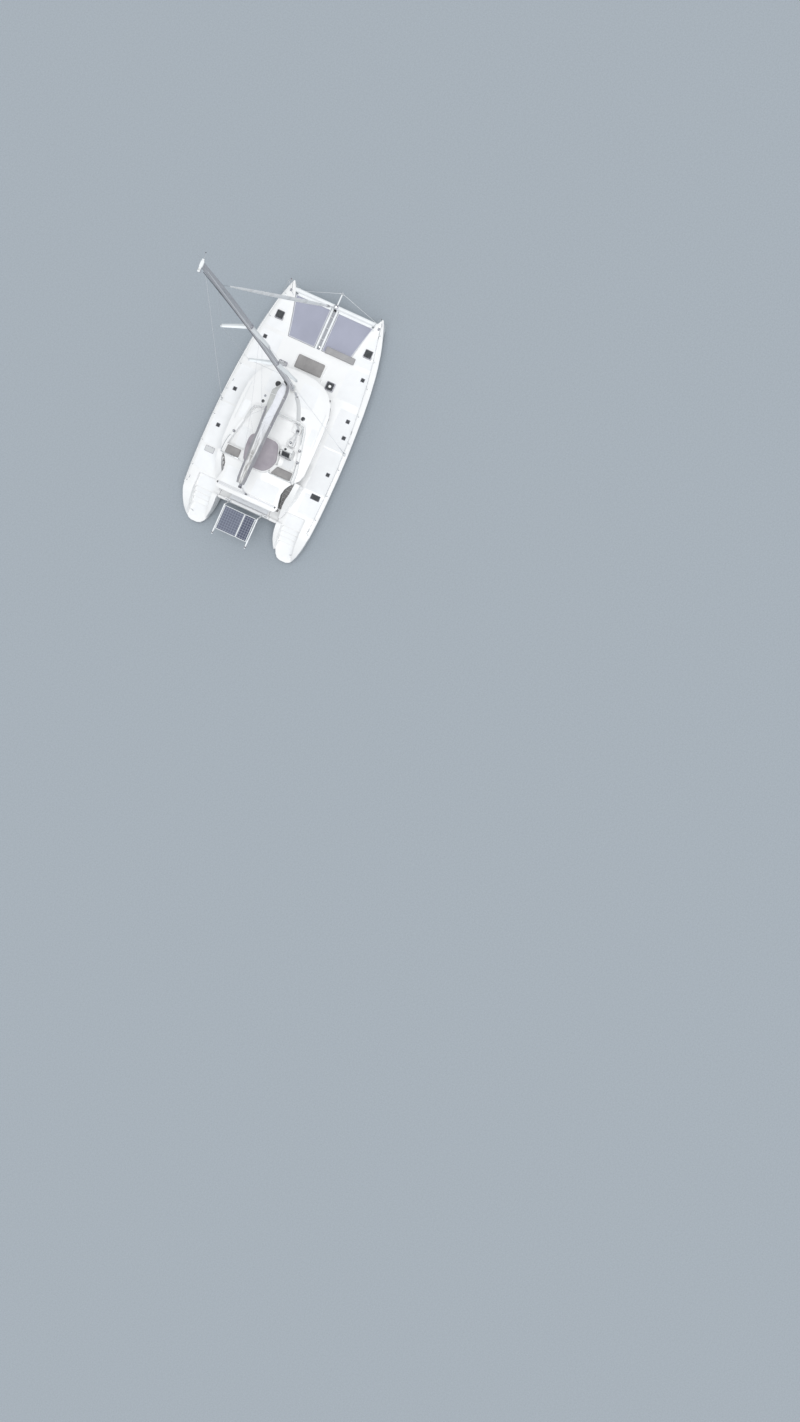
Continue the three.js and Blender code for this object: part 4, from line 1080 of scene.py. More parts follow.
def hatch_trim(side, kind, x, y, top):
    """A frame on the deck and, on the lid, its rim, handles and hinges."""
    s = SIDES[side]
    y *= s
    body = f"{kind}_hatch_{side}"

    def square(half, corner):
        return rounded(x - half, x + half, y - half, y + half, corner)

    fixed = Piece(f"{body}_frame", slot="alloy")
    levels = [(0.28, 0.06, -0.08), (0.28, 0.06, -0.042), (0.215, 0.03, -0.042), (0.215, 0.03, -0.08)]
    rings = [flat_ring(square(half, corner), top + lift) for half, corner, lift in levels]
    fixed.skin(rings, ALLOY, loop=True)
    fixed.done()
    lid = Piece(f"{body}_lid", body, "acrylic")
    z = top + 0.03
    rim = [(0.25, -0.024), (0.25, 0.002), (0.225, 0.004), (0.222, -0.002)]
    lid.skin([flat_ring(square(half, 0.05), z + lift) for half, lift in rim], ALLOY, loop=True)
    for dy in (-0.11, 0.11):
        lid.block((x - 0.2, y + dy - 0.02, z - 0.001), (x - 0.17, y + dy + 0.02, z + 0.012), DARK_ALLOY)
        lid.block((x + 0.19, y + dy - 0.03, z - 0.001), (x + 0.245, y + dy + 0.03, z + 0.008), DARK_ALLOY)
    if kind == "deck" and side == "starboard":
        lid.knob((x, y, z - 0.001), [(0.085, 0), (0.085, 0.008), (0.06, 0.02), (0.02, 0.024)], GELCOAT, 24)
    lid.done()


for name in SIDES:
    hatch_trim(name, "fore", 5.6, 2.93, 1.935)
    hatch_trim(name, "deck", 2.93, 1.6, 1.92)


# Bow: crossbeam, nets and bowsprit


def trampoline(side):
    """A net that sags a little inside its bolt rope, laced to hull, beams and foredeck."""
    s = SIDES[side]
    stations = span(BRIDGE_BOW + NET_MARGIN, NET_BOW - NET_MARGIN, 25)
    rows = []
    for x in stations:
        outer = abs(inner_y(side, x)) - NET_MARGIN
        rows.append([(x, y) for y in span(NET_INBOARD + NET_MARGIN, outer, 21)])
    high, wide = len(rows) - 1, len(rows[0]) - 1
    mesh = bmesh.new()
    layers = []
    for lift in (0.003, -0.003):
        layer = []
        for i, row in enumerate(rows):
            line = []
            for k, (x, y) in enumerate(row):
                drop = 0.035 * math.sin(math.pi * i / high) * math.sin(math.pi * k / wide)
                line.append(mesh.verts.new((x, s * y, NET_Z - drop + lift)))
            layer.append(line)
        layers.append(layer)
    top, under = layers
    for layer in layers:
        for i in range(high):
            for k in range(wide):
                mesh.faces.new((layer[i][k], layer[i + 1][k], layer[i + 1][k + 1], layer[i][k + 1]))
    rim = [(0, k) for k in range(wide)] + [(i, wide) for i in range(high)]
    rim += [(high, k) for k in range(wide, 0, -1)] + [(i, 0) for i in range(high, 0, -1)]
    for (i, k), (j, m) in zip(rim, rim[1:] + rim[:1]):
        mesh.faces.new((top[i][k], top[j][m], under[j][m], under[i][k]))
    net = built(f"net_{side}", mesh, [NET])
    smoothed(net.data)
    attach(net, "boat")
    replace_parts(net, f"trampoline_{side}")
    border = net_border(side, rows)


def net_border(side, rows):
    """Bolt rope with webbing, and the lacing that holds it."""
    s = SIDES[side]
    z = NET_Z
    piece = Piece(f"net_border_{side}", slot="netting")
    corners = [rows[0][0], rows[0][-1], *[row[-1] for row in rows[1:]], rows[-1][0]]
    outline = [(x, s * y) for x, y in corners]
    inner = shrunk(outline, 0.035)
    levels = [(outline, z - 0.006), (outline, z + 0.006), (inner, z + 0.005), (inner, z - 0.005)]
    piece.skin(stack(levels), BORDER, loop=True)
    piece.tube(flat_ring(outline, z), 0.009, BORDER, 6, loop=True)
    outside = shrunk(outline, 0.004 - NET_MARGIN)
    for i in range(len(outline)):
        a, b = Vector(outline[i]), Vector(outline[(i + 1) % len(outline)])
        c, d = Vector(outside[i]), Vector(outside[(i + 1) % len(outside)])
        turns = max(2, round((b - a).length / 0.07))
        zigzag = []
        for k in range(turns):
            on_net, on_rail = a.lerp(b, k / turns), c.lerp(d, (k + 0.5) / turns)
            zigzag += [(*on_net, z), (*on_rail, z)]
        zigzag.append((*b, z))
        piece.tube(zigzag, 0.004, BORDER, 4)
    return piece.done()


def crossbeam_gear():
    """End fittings, the striker under the beam and the lacing rail behind it."""
    piece = Piece("crossbeam_gear", slot="steel")
    r = BEAM_RADIUS
    collar = [(r + 0.001, 0), (r + 0.018, 0.01), (r + 0.018, 0.09), (r + 0.001, 0.1)]
    for s in (1, -1):
        piece.knob((BEAM_X, s * 2.42, DECK), collar, WHITE_ALLOY, 28, (0, s, 0))
        piece.tube([(BEAM_X, s * 2.5, DECK - 0.12), (BEAM_X, s * 0.04, 1.3)], 0.014, STEEL)
        low, high = mirrored(s, 0.25, 2.44)
        piece.block((7.085, low, 1.85), (7.26, high, 1.866), WHITE_ALLOY, 0.004)
        for y in span(0.4, 2.35, 12):
            piece.knob((7.11, s * y, 1.864), [(0.014, 0), (0.012, 0.006), (0.005, 0.008)], STEEL, 10)
    piece.tube([(BEAM_X, 0, DECK - 0.13), (BEAM_X, 0, 1.3)], [0.05, 0.034], WHITE_ALLOY, 12)
    piece.knob((BEAM_X, 0, 1.27), [(0.03, 0), (0.05, 0.01), (0.05, 0.05), (0.03, 0.06)], STEEL)
    plate = [(0.15, 0), (0.15, 0.012), (0.12, 0.022), (0.05, 0.03)]
    piece.knob((BEAM_X - 0.02, 0, DECK + r - 0.012), plate, ALLOY, 28)
    piece.done()


def centre_beam_gear():
    """Edge rails, a grey channel liner, anchor roller and windlass."""
    piece = Piece("centre_beam_gear", slot="alloy")
    for low, high in ((0.125, 0.215), (-0.215, -0.155)):
        piece.block((4.68, low, DECK - 0.003), (7.2, high, DECK + 0.016), WHITE_ALLOY, 0.005)
    piece.block((4.66, -0.096, 1.712), (7.2, 0.096, 1.735), CHANNEL, 0.003)
    for x in (5.3, 6.0, 6.7):
        piece.block((x, -0.098, 1.74), (x + 0.05, 0.098, 1.83), PALE_ALLOY, 0.004)
    roller = [(0.06, 0), (0.06, 0.015), (0.03, 0.05), (0.06, 0.085), (0.06, 0.1)]
    piece.knob((7.17, -0.05, 1.80), roller, RUBBER, 18, (0, 1, 0))
    drum = [(0.085, 0), (0.085, 0.03), (0.06, 0.05), (0.06, 0.1), (0.085, 0.12), (0.085, 0.15), (0.05, 0.165)]
    piece.knob((4.86, 0, 1.735), drum, STEEL, 28)
    piece.done()


def bowsprit_gear():
    """End cap and crosspiece of the bowsprit, its side stays and the wire under it."""
    piece = Piece("bowsprit_gear", slot="steel")
    piece.knob((8.18, 0, DECK), [(0.047, 0), (0.056, 0.01), (0.056, 0.1), (0.03, 0.12)], STEEL, 18, (1, 0, 0))
    piece.tube([(8.22, -0.14, DECK), (8.22, 0.14, DECK)], 0.018, WHITE_ALLOY, 10)
    for side, s in SIDES.items():
        tip = Vector((8.22, s * 0.12, DECK))
        aim = Vector((7.66, s * 2.93, 0.46))
        bow, normal = hit(f"hull_{side}", tip, (aim - tip).normalized())
        piece.tube([tip, bow], 0.011, WHITE_ALLOY, 8)
        piece.tube([bow.lerp(tip, 0.12), bow], 0.018, STEEL)
        piece.knob(bow, [(0.05, -0.01), (0.05, 0.008), (0.02, 0.02)], STEEL, 16, normal)
    piece.tube([(8.2, 0, 1.82), (BEAM_X, 0, 1.34)], 0.006, WIRE, 6)
    piece.done()


def pulpit_lights():
    """Red light to port, green light to starboard."""
    piece = Piece("bow_lights", slot="steel")
    for s, lens in ((1, RED_LENS), (-1, GREEN_LENS)):
        piece.at((7.6, s * 2.95, 2.7)).turned([(0.03, 0), (0.032, 0.008), (0.032, 0.012)], DARK_ALLOY, 16)
        piece.turned([(0.026, 0.012), (0.026, 0.055)], lens, 16)
        piece.turned([(0.032, 0.055), (0.03, 0.068), (0.01, 0.072)], DARK_ALLOY, 16)
    piece.at().done()


for name in SIDES:
    trampoline(name)
crossbeam_gear()
centre_beam_gear()
bowsprit_gear()
pulpit_lights()


# Saloon, roof and cockpit

CABIN = [  # the outer face of the saloon walls, port side, from aft to forward
    (-1.75, 2.45), (-0.3, 2.45), (1.05, 2.43), (1.68, 2.26),
    (2.12, 1.92), (2.4, 1.43), (2.54, 0.83), (2.58, 0.27),
]


def wall_path(half, out, z):
    """A line round a symmetric outline, a little outside it."""
    whole = [*half, *[(x, -y) for x, y in half[::-1]]]
    path = []
    for i, (x, y) in enumerate(whole):
        a, b = Vector(whole[max(i - 1, 0)]), Vector(whole[min(i + 1, len(whole) - 1)])
        way = (b - a).normalized()
        path.append((x - way.y * out, y + way.x * out, z))
    return path


def window_trim():
    """Rubber seals over and under the saloon windows, and a fine moulding below them."""
    piece = Piece("window_seals", slot="tinted_glass")
    for z in (2.295, 3.005):
        piece.tube(wall_path(CABIN, 0.002, z), 0.012, RUBBER, 6)
    piece.tube(wall_path(CABIN, 0.002, 2.1), 0.014, GELCOAT, 6)
    piece.done()


def roof_gear():
    """Hatches, hand rails and nonskid fields on the roof, and the collar at the mast."""
    piece = Piece("roof_gear", slot="gelcoat")
    round_hatch(piece, 0.28, 1.35, ROOF, 0.115)
    round_hatch(piece, 0.29, -1.26, ROOF, 0.14)
    round_hatch(piece, 0.62, 1.36, ROOF, 0.09, CHANNEL)
    vent = [(0.17, -0.003), (0.17, 0.01), (0.12, 0.05), (0.12, 0.09), (0.09, 0.12), (0.03, 0.125)]
    piece.knob((1.56, 0.94, ROOF), vent, RUBBER, 26)
    rail_z = ROOF + 0.07
    for s in (1, -1):
        rail = [(-1.2, 2.5, ROOF), (-1.12, 2.5, rail_z), (0.9, 2.42, rail_z), (0.98, 2.41, ROOF)]
        piece.tube(smooth_path([(x, s * y, z) for x, y, z in rail], 5), 0.014, WHITE_ALLOY)
        for x in (-0.45, 0.25):
            piece.tube([(x, s * 2.47, ROOF - 0.003), (x, s * 2.47, rail_z)], 0.01, WHITE_ALLOY)
        for aft, fore, low, high, corner in (
            (0.9, 2.25, 0.45, 1.55, 0.12), (-1.1, 0.0, 1.98, 2.38, 0.1), (-5.0, -3.95, 0.2, 1.7, 0.1),
        ):
            outline = rounded(aft, fore, *mirrored(s, low, high), corner)
            piece.slab(outline, ROOF - 0.003, ROOF + 0.004, NONSKID, 0.002)
    x, foot = MAST_FOOT
    turns = span(0, 2 * math.pi, 29)[:-1]
    rings = []
    for r, lift in ((0.235, 0.0), (0.24, 0.03), (0.2, 0.07), (0.185, 0.09)):
        rings.append([(x + r * 1.08 * math.cos(t), r * 0.68 * math.sin(t), foot + lift) for t in turns])
    piece.skin(rings, LINER)
    piece.done()


def door_gear():
    """Handle and lock on the sliding door."""
    piece = Piece("door_handle", "saloon_door", "alloy")
    x, y = -1.8, -0.2
    grip = [(x, y, 2.05), (x - 0.045, y, 2.08), (x - 0.045, y, 2.34), (x, y, 2.37)]
    piece.tube(smooth_path(grip, 4), 0.01, STEEL)
    piece.block((x - 0.012, y - 0.02, 1.95), (x + 0.001, y + 0.02, 2.03), DARK_ALLOY, 0.003)
    piece.done()


def soles():
    """Floors of cockpit and saloon, and the pad on the aft coaming."""
    piece = Piece("cockpit_sole", slot="wood")
    for plan, corner, look in (
        # The cockpit sole's dark grey is painted shade under the hardtop.
        ((-5.18, -1.84, -1.7, 1.36), 0.05, TREAD_PAINTED_SHADE),
        ((-1.65, 2.1, -1.35, -0.25), 0.03, OAK),
        ((-1.65, 0.38, -0.24, 1.95), 0.03, OAK),
    ):
        piece.slab(rounded(*plan, corner), SOLE - 0.003, SOLE + 0.006, look, 0.002)
    piece.slab(rounded(-5.84, -5.71, -1.4, 1.4, 0.02), 2.0 - 0.003, 2.004, NONSKID, 0.002)
    piece.done()


def galley():
    """Worktop, sink, hob, tap and locker fronts."""
    piece = Piece("galley_fittings", slot="wood")
    top = 2.15
    for plan, low, high, look, soft in (
        ((-1.56, 1.31, -1.998, -1.37, 0.03), -0.002, 0.03, LINER, 0.006),
        ((-0.7, -0.25, -1.9, -1.5, 0.06), 0.026, 0.034, STEEL, 0.002),
        ((-0.67, -0.28, -1.87, -1.53, 0.05), 0.03, 0.036, DARK_ALLOY, 0.002),
        ((0.25, 0.8, -1.92, -1.46, 0.02), 0.026, 0.038, ACRYLIC, 0.003),
    ):
        piece.slab(rounded(*plan), top + low, top + high, look, soft)
    tap = [(-0.48, y, top + lift) for y, lift in ((-1.93, 0.03), (-1.93, 0.25), (-1.8, 0.3), (-1.7, 0.22))]
    piece.tube(smooth_path(tap, 5), 0.012, STEEL)
    for x in (0.4, 0.65):
        for y in (-1.8, -1.58):
            piece.knob((x, y, top + 0.038), [(0.06, 0), (0.055, 0.012), (0.02, 0.014)], DARK_ALLOY, 18)
    for k in range(5):
        x = -1.5 + k * 0.56
        piece.block((x, -1.405, 1.42), (x + 0.52, -1.388, 2.08), OAK, 0.004)
        piece.tube([(x + 0.06, -1.38, 1.98), (x + 0.46, -1.38, 1.98)], 0.007, STEEL, 6)
    piece.done()


def table_trim(room, aft, fore, wood):
    """A wooden top and the round foot of a table's leg."""
    piece = Piece(f"{room}_table_top", slot="wood")
    piece.slab(rounded(aft, fore, 0.37, 1.13, 0.1, 5), 1.959, 1.968, wood, 0.003)
    foot = [(0.16, 0), (0.16, 0.01), (0.09, 0.025), (0.066, 0.04)]
    piece.knob(((aft + fore) / 2, 0.75, SOLE), foot, STEEL, 24)
    piece.done()


WING = [  # x, half breadth of the stairs, up to the wing beside them
    (-5.5, 2.01), (-4.8, 2.02), (-4.4, 2.11), (-4.05, 2.24), (-3.7, 2.32), (-3.3, 2.36),
]


def stair_gear(side):
    """Tread pads, dark grey as painted shade of the hardtop, and a hand rail beside the flybridge stairs."""
    s = SIDES[side]
    piece = Piece(f"stair_gear_{side}")
    rise = (ROOF - SOLE) / 8
    for k in range(7):
        x0 = -4.95 + 0.22 * k
        z = SOLE + (k + 1) * rise
        outer = 1.985 if z < 1.9 else between(WING, x0)[0] - 0.012
        tread = rounded(x0 + 0.001, x0 + 0.219, *mirrored(s, 1.765, outer), 0.008, 2)
        piece.slab(tread, z - 0.003, z + 0.006, TREAD_PAINTED_SHADE, 0.001)
    rail = [(-4.9, s * 1.74, 1.9), (-4.75, s * 1.72, 2.35), (-3.75, s * 1.72, 3.3), (-3.6, s * 1.72, 3.2)]
    piece.tube(smooth_path(rail, 6)[:-3], 0.016, STEEL)
    piece.done()


window_trim()
roof_gear()
door_gear()
soles()
galley()
table_trim("cockpit", -3.33, -2.07, TEAK)
table_trim("dinette", 0.47, 1.43, OAK)
for name in SIDES:
    stair_gear(name)


# Flybridge


WINCH = [  # material, sides and profile of its base, drum, jaws and socket, for a drum radius of 1
    (DARK_ALLOY, 24, [(1.35, -0.003), (1.35, 0.012), (1.15, 0.02), (1.15, 0.03)]),
    (STEEL, 24, [(1.1, 0.03), (0.82, 0.06), (0.8, 0.1), (0.95, 0.125), (0.95, 0.13)]),
    (DARK_ALLOY, 24, [(1.05, 0.13), (1.1, 0.138), (0.8, 0.146), (1.1, 0.154), (1.05, 0.162)]),
    (STEEL, 16, [(0.5, 0.162), (0.5, 0.172), (0.2, 0.175)]),
]


def winch(piece, x, y, z, radius):
    for look, sides, profile in WINCH:
        piece.knob((x, y, z), [(r * radius, lift) for r, lift in profile], look, sides)


def helm_gear():
    """Instruments, throttles, compass, glare hood and grab rail on the console."""
    piece = Piece("helm_gear", slot="alloy")
    face = Vector((-0.22, 0, 0.18)).normalized()
    slope = Vector((0.18, 0, 0.22)).normalized()
    base = Vector((-2.236, HELM[1], 4.2)) + face * 0.004
    pod = [(-2.236, 4.2), (-2.222, 4.172), (-2.13, 4.19), (-1.97, 4.385), (-1.98, 4.42), (-2.02, 4.42)]
    lip = shrunk(pod, 0.01)
    sides = [(lip, -1.6), (pod, -1.59), (pod, -1.13), (lip, -1.12)]
    piece.at().skin([[(x, y, z) for x, z in ring] for ring, y in sides], PANEL)
    for dy, up, half in ((-0.17, 0.14, 0.055), (-0.04, 0.14, 0.055), (0.13, 0.14, 0.08)):
        centre = base + Vector((0, dy, 0)) + slope * up
        piece.at(centre, face)
        shape = rounded(-half, half, -half, half, 0.012, 3)
        piece.slab(shape, -0.004, 0.012, RUBBER, 0.004)
        piece.slab(shrunk(shape, 0.012), 0.01, 0.014, ACRYLIC, 0.001)
    piece.at((-1.84, HELM[1] + 0.11, 4.335)).turned([(0.07, -0.02), (0.075, 0.0), (0.07, 0.03)], RUBBER, 24)
    piece.turned([(0.062, 0.03), (0.055, 0.06), (0.03, 0.078), (0.01, 0.082)], ACRYLIC, 24)
    piece.at()
    piece.block((-2.22, -1.012, 4.02), (-2.04, -0.92, 4.14), PANEL, 0.012)
    for y in (-0.985, -0.95):
        piece.tube([(-2.13, y, 4.13), (-2.18, y, 4.25)], 0.008, STEEL)
        piece.tube([(-2.18, y - 0.011, 4.25), (-2.18, y + 0.011, 4.25)], 0.014, RUBBER)
    grab = [(-1.98, -1.66, 4.3), (-1.95, -1.68, 4.42), (-1.95, -1.02, 4.42), (-1.98, -1.04, 4.3)]
    piece.tube(smooth_path(grab, 5), 0.012, STEEL)
    piece.done()


LINES = [  # halyards and reefing lines: y at the mast's foot, at the clutch and beside the winch
    (-0.16, -1.24, -1.12), (-0.2, -1.28, -1.15), (-0.24, -1.32, -1.37), (-0.28, -1.36, -1.4),
    (-0.32, -1.4, -1.43),
]


def clutches_and_lines():
    """Five lines from the mast's foot, under a cover, over a clutch bank and past a winch to the helm."""
    gear = Piece("clutches", slot="gelcoat")
    ropes = Piece("halyards", slot="steel")
    gear.slab(rounded(-0.68, -0.15, -1.5, -0.96, 0.05, 3), ROOF - 0.003, 3.62, GELCOAT, 0.02)
    gear.slab(rounded(-1.5, -1.12, -1.5, -1.05, 0.08, 4), ROOF - 0.003, 3.78, GELCOAT, 0.02)
    way = smooth_path([(1.33, -0.36, 0), (0.93, -0.67, 0), (0.31, -0.955, 0), (-0.01, -1.1, 0)], 6)
    rings = []
    for k, place in enumerate(way):
        ahead = way[min(k + 1, len(way) - 1)] - way[max(k - 1, 0)]
        side = Vector((-ahead.y, ahead.x, 0)).normalized()
        height = 0.03 if k == 0 else 0.055
        place = place + UP * (ROOF - 0.004)
        arc = span(0, math.pi, 11)
        rings.append([place + side * 0.12 * math.cos(t) + UP * height * math.sin(t) for t in arc])
    # The cover's grey is painted shade.
    gear.skin(rings, COVER)
    gear.block((-1.7, -1.46, 3.68), (-1.684, -1.08, 3.8), LINER, 0.006)
    winch(gear, -1.31, -1.26, 3.78, 0.05625)
    for start, clutch, beside in LINES:
        run = [
            (-0.12, clutch + 0.2, 3.6), (-0.2, clutch + 0.19, 3.652), (-0.4, clutch, 3.652),
            (-0.7, clutch, 3.652), (-0.95, (clutch + beside) / 2, 3.7), (-1.14, beside, 3.792),
            (-1.48, beside, 3.792), (-1.69, clutch + 0.05, 3.74),
        ]
        ropes.tube(smooth_path(run, 4), 0.009, PALE_ROPE, 6)
        down = [(1.5, start, 3.66), (1.43, start - 0.03, 3.48), (1.28, -0.3 + start * 0.4, 3.435)]
        ropes.tube(smooth_path(down, 4), 0.009, ROPE, 6)
        gear.block((-0.64, clutch - 0.017, 3.617), (-0.42, clutch + 0.017, 3.69), PALE_ALLOY, 0.006)
        gear.tube([(-0.45, clutch, 3.69), (-0.57, clutch, 3.712)], [0.008, 0.012], DARK_ALLOY, 8)
    ropes.done()
    gear.done()


def winches():
    """Winches on the coaming, and the blocks beside the mast's foot."""
    piece = Piece("winches", slot="steel")
    for x, y in ((-1.55, -1.955), (-2.23, -2.105), (-2.06, 2.08)):
        winch(piece, x, y, FLY_TOP, 0.06)
    block = [(0.05, -0.002), (0.05, 0.01), (0.02, 0.02), (0.04, 0.035), (0.04, 0.05)]
    for y in (-0.42, 0.42):
        piece.knob((1.3, y, ROOF), block, DARK_ALLOY, 18)
    piece.done()


def windscreen():
    """A low screen of clear glass on the front of the coaming, with its rail."""
    half = [(-1.2, 1.88), (-0.47, 1.715), (-0.17, 1.58), (-0.06, 1.22)]
    whole = [*half, *[(x, -y) for x, y in half[::-1]]]
    piece = Piece("windscreen", slot="tinted_glass")
    rings = []
    for k, (x, y) in enumerate(whole):
        high = 0.2 if 0 < k < len(whole) - 1 else 0.06
        lean = 0.05 * high / 0.2
        foot, top = FLY_TOP - 0.002, FLY_TOP + high
        low_edge = [(x, y, foot), (x - 0.008, y * 0.996, foot)]
        rings.append([*low_edge, (x - 0.008 - lean, y * 0.98, top), (x - lean, y * 0.984, top)])
    piece.skin(rings, CLEAR_GLASS)
    rim = [((a[0] + b[0]) / 2, (a[1] + b[1]) / 2, a[2] + 0.004) for _, _, a, b in rings]
    piece.tube(rim, 0.01, WHITE_ALLOY)
    piece.done()


def flybridge_trim():
    """Seat fronts, back rails and the floor field of the flybridge."""
    piece = Piece("flybridge_trim")
    for s in (1, -1):
        floor = rounded(-2.72, -2.15 if s < 0 else -1.5, *mirrored(s, 1.22, 1.86), 0.08)
        piece.slab(floor, ROOF - 0.003, ROOF + 0.005, NONSKID, 0.002)
        rail = [
            (-3.42, s * 2.26, FLY_TOP), (-3.4, s * 2.26, 4.15), (-2.9, s * 2.23, 4.2),
            (-2.4, s * 2.15, 4.15), (-2.36, s * 2.14, FLY_TOP),
        ]
        piece.tube(smooth_path(rail, 5), 0.014, STEEL)
        front = rounded(-2.86, -2.835, *mirrored(s, 1.14, 2.16), 0.01, 2)
        piece.slab(front, ROOF + 0.06, 3.8, LINER, 0.006)
    for outer, inner in ((-2.25, -0.86), (2.25, 1.13)):
        over = (inner - outer) * 0.04
        back = [(outer, FLY_TOP - 0.01), (outer + over, 4.09), (inner - over, 4.11), (inner, 3.81)]
        piece.tube(smooth_path([(-3.452, y, z) for y, z in back], 5), 0.014, STEEL)
    piece.done()


def wheel_trim():
    """A cover of webbing round the wheel's rim, and its hub cap."""
    piece = Piece("wheel_trim", "wheel_body", "steel")
    x, y, z = HELM
    turns = span(0, 2 * math.pi, 49)[:-1]
    rim = [(x, y + WHEEL_RADIUS * math.cos(t), z + WHEEL_RADIUS * math.sin(t)) for t in turns]
    piece.tube(rim, 0.018, HEM, 10, loop=True)
    piece.knob((x - 0.024, y, z), [(0.05, 0), (0.045, 0.012), (0.02, 0.02)], STEEL, 20, (-1, 0, 0))
    piece.done()


helm_gear()
clutches_and_lines()
winches()
windscreen()
flybridge_trim()
wheel_trim()


# Rig


def mast_gear():
    """Sail track, luff cars, halyard exits, winches, lights and masthead instruments."""
    piece = Piece("mast_gear", slot="alloy")
    track = [(mast_x(z) - 0.176, 0, z) for z in span(4.9, 24.9, 12)]
    piece.tube(track, 0.016, DARK_ALLOY, 4)
    for k in range(9):
        z = 5.25 + 0.1 * k
        x = mast_x(z) - 0.2
        piece.block((x - 0.05, -0.022, z), (x + 0.03, 0.022, z + 0.07), RUBBER, 0.006)
    for z, s in ((4.3, 1), (4.45, -1), (4.6, 1), (4.75, -1)):
        x = mast_x(z)
        low, high = mirrored(s, 0.085, 0.102)
        piece.block((x - 0.03, low, z), (x + 0.03, high, z + 0.12), DARK_ALLOY, 0.004)
    drum = [(0.07, 0), (0.07, 0.015), (0.05, 0.035), (0.05, 0.07), (0.06, 0.085), (0.03, 0.1)]
    for s in (1, -1):
        piece.knob((mast_x(4.0) - 0.02, s * 0.088, 4.0), drum, STEEL, 20, (0, s, 0))
    steaming_light = [(0.03, -0.03), (0.04, 0), (0.04, 0.05), (0.02, 0.06)]
    piece.knob((mast_x(12.5) + 0.165, 0, 12.5), steaming_light, CLEAR_LENS, 16)
    head = mast_x(MAST_HEAD[1])
    anchor_light = [(0.03, 0), (0.03, 0.02), (0.022, 0.03), (0.022, 0.08), (0.01, 0.09)]
    piece.knob((head - 0.25, 0.0, 25.46), anchor_light, CLEAR_LENS, 16)
    piece.tube([(head + 0.12, 0.03, 25.45), (head + 0.12, 0.03, 26.1)], [0.008, 0.003], WIRE, 6)
    piece.tube([(head + 0.1, -0.03, 25.44), (head + 0.42, -0.03, 25.6)], 0.007, WIRE, 6)
    piece.knob((head + 0.42, -0.03, 25.58), [(0.012, 0), (0.022, 0.02), (0.012, 0.05)], RUBBER, 12)
    cap = rounded(head - 0.14, head + 0.14, -0.07, 0.07, 0.05)
    piece.slab(cap, 25.39, 25.475, WHITE_ALLOY, 0.01)
    piece.block((head - 0.34, -0.05, 25.45), (head + 0.2, 0.05, 25.468), WHITE_ALLOY, 0.005)
    piece.done()


def spreader_gear(s, side):
    """Tip fittings and roots, and the diamond stays that run over the spreaders."""
    piece = Piece(f"diamond_{side}", slot="steel")
    tips = []
    for z, half, sweep in SPREADERS:
        tip = Vector((mast_x(z) - sweep, s * half, z + 0.06))
        tips.append(tip)
        cup = [(0.035, -0.06), (0.045, -0.02), (0.045, 0.02), (0.02, 0.035)]
        piece.knob(tip, cup, PALE_ALLOY, 14, (0, s, 0))
        root = [(0.12, -0.01), (0.11, 0.03), (0.06, 0.08)]
        piece.knob((mast_x(z), s * 0.085, z), root, ALLOY, 16, (0, s, 0))
    foot = Vector((mast_x(6.6), s * 0.09, 6.6))
    head = Vector((mast_x(22.3), s * 0.085, 22.3))
    piece.tube([foot, tips[0], tips[1], head], 0.006, WIRE, 6)
    piece.tube([foot, foot.lerp(tips[0], 0.12)], 0.012, STEEL)
    piece.done()


def shroud_gear(side):
    """Turnbuckle, its cover and the chainplate's cap."""
    s = SIDES[side]
    piece = Piece(f"turnbuckle_{side}", slot="steel")
    foot, head = Vector((-0.4, s * 4.12, 1.95)), Vector((mast_x(25), 0, 25))
    way = (head - foot).normalized()
    screw = [(0.016, 0), (0.02, 0.02), (0.02, 0.1), (0.03, 0.12), (0.03, 0.42), (0.02, 0.44), (0.014, 0.6)]
    piece.knob(foot, screw, STEEL, 12, way)
    sleeve = [(0.02, 0), (0.028, 0.03), (0.028, 0.9), (0.014, 1.0)]
    piece.knob(foot + way * 0.45, sleeve, WHITE_ALLOY, 10, way)
    plate = rounded(-0.49, -0.31, foot.y - 0.05, foot.y + 0.05, 0.02, 3)
    piece.slab(plate, DECK - 0.003, DECK + 0.012, STEEL, 0.003)
    piece.done()


def boom_gear():
    """End caps, reef sheaves, reef lines and the bails of the sheet on the boom."""
    piece = Piece("boom_gear", "boom_body", "alloy")
    section = [(0.6, -1), (1, -0.7), (1, 0.7), (0.6, 1), (-0.6, 1), (-1, 0.7), (-1, -0.7), (-0.6, -1)]
    for x, grow in ((BOOM_AFT - 0.012, 0.008), (BOOM_FRONT - 0.09, 0.006)):
        z = boom_z(x)
        half_y, half_z = BOOM_HALF[0] + grow, BOOM_HALF[1] + grow
        ring = [(x, y * half_y, z + u * half_z) for y, u in section]
        piece.skin([ring, [(x + 0.1, y, z) for _, y, z in ring]], DARK_ALLOY)
    for s in (1, -1):
        for x in (-4.6, -3.9, -2.9):
            sheave = [(0.05, 0), (0.05, 0.012), (0.02, 0.018)]
            piece.knob((x, s * 0.073, boom_z(x)), sheave, STEEL, 16, (0, s, 0))
        path = [(x, s * 0.078, boom_z(x) + 0.05) for x in (-4.6, -3.9, -2.0, 1.1)]
        piece.tube(path, 0.006, DARK_ROPE, 5)
    for x in (-4.95, -4.3):
        z = boom_z(x) - BOOM_HALF[1]
        bow = ((-0.05, 0.01), (-0.03, -0.05), (0.03, -0.05), (0.05, 0.01))
        piece.tube(smooth_path([(x + dx, 0, z + lift) for dx, lift in bow], 4), 0.009, STEEL)
    piece.done()


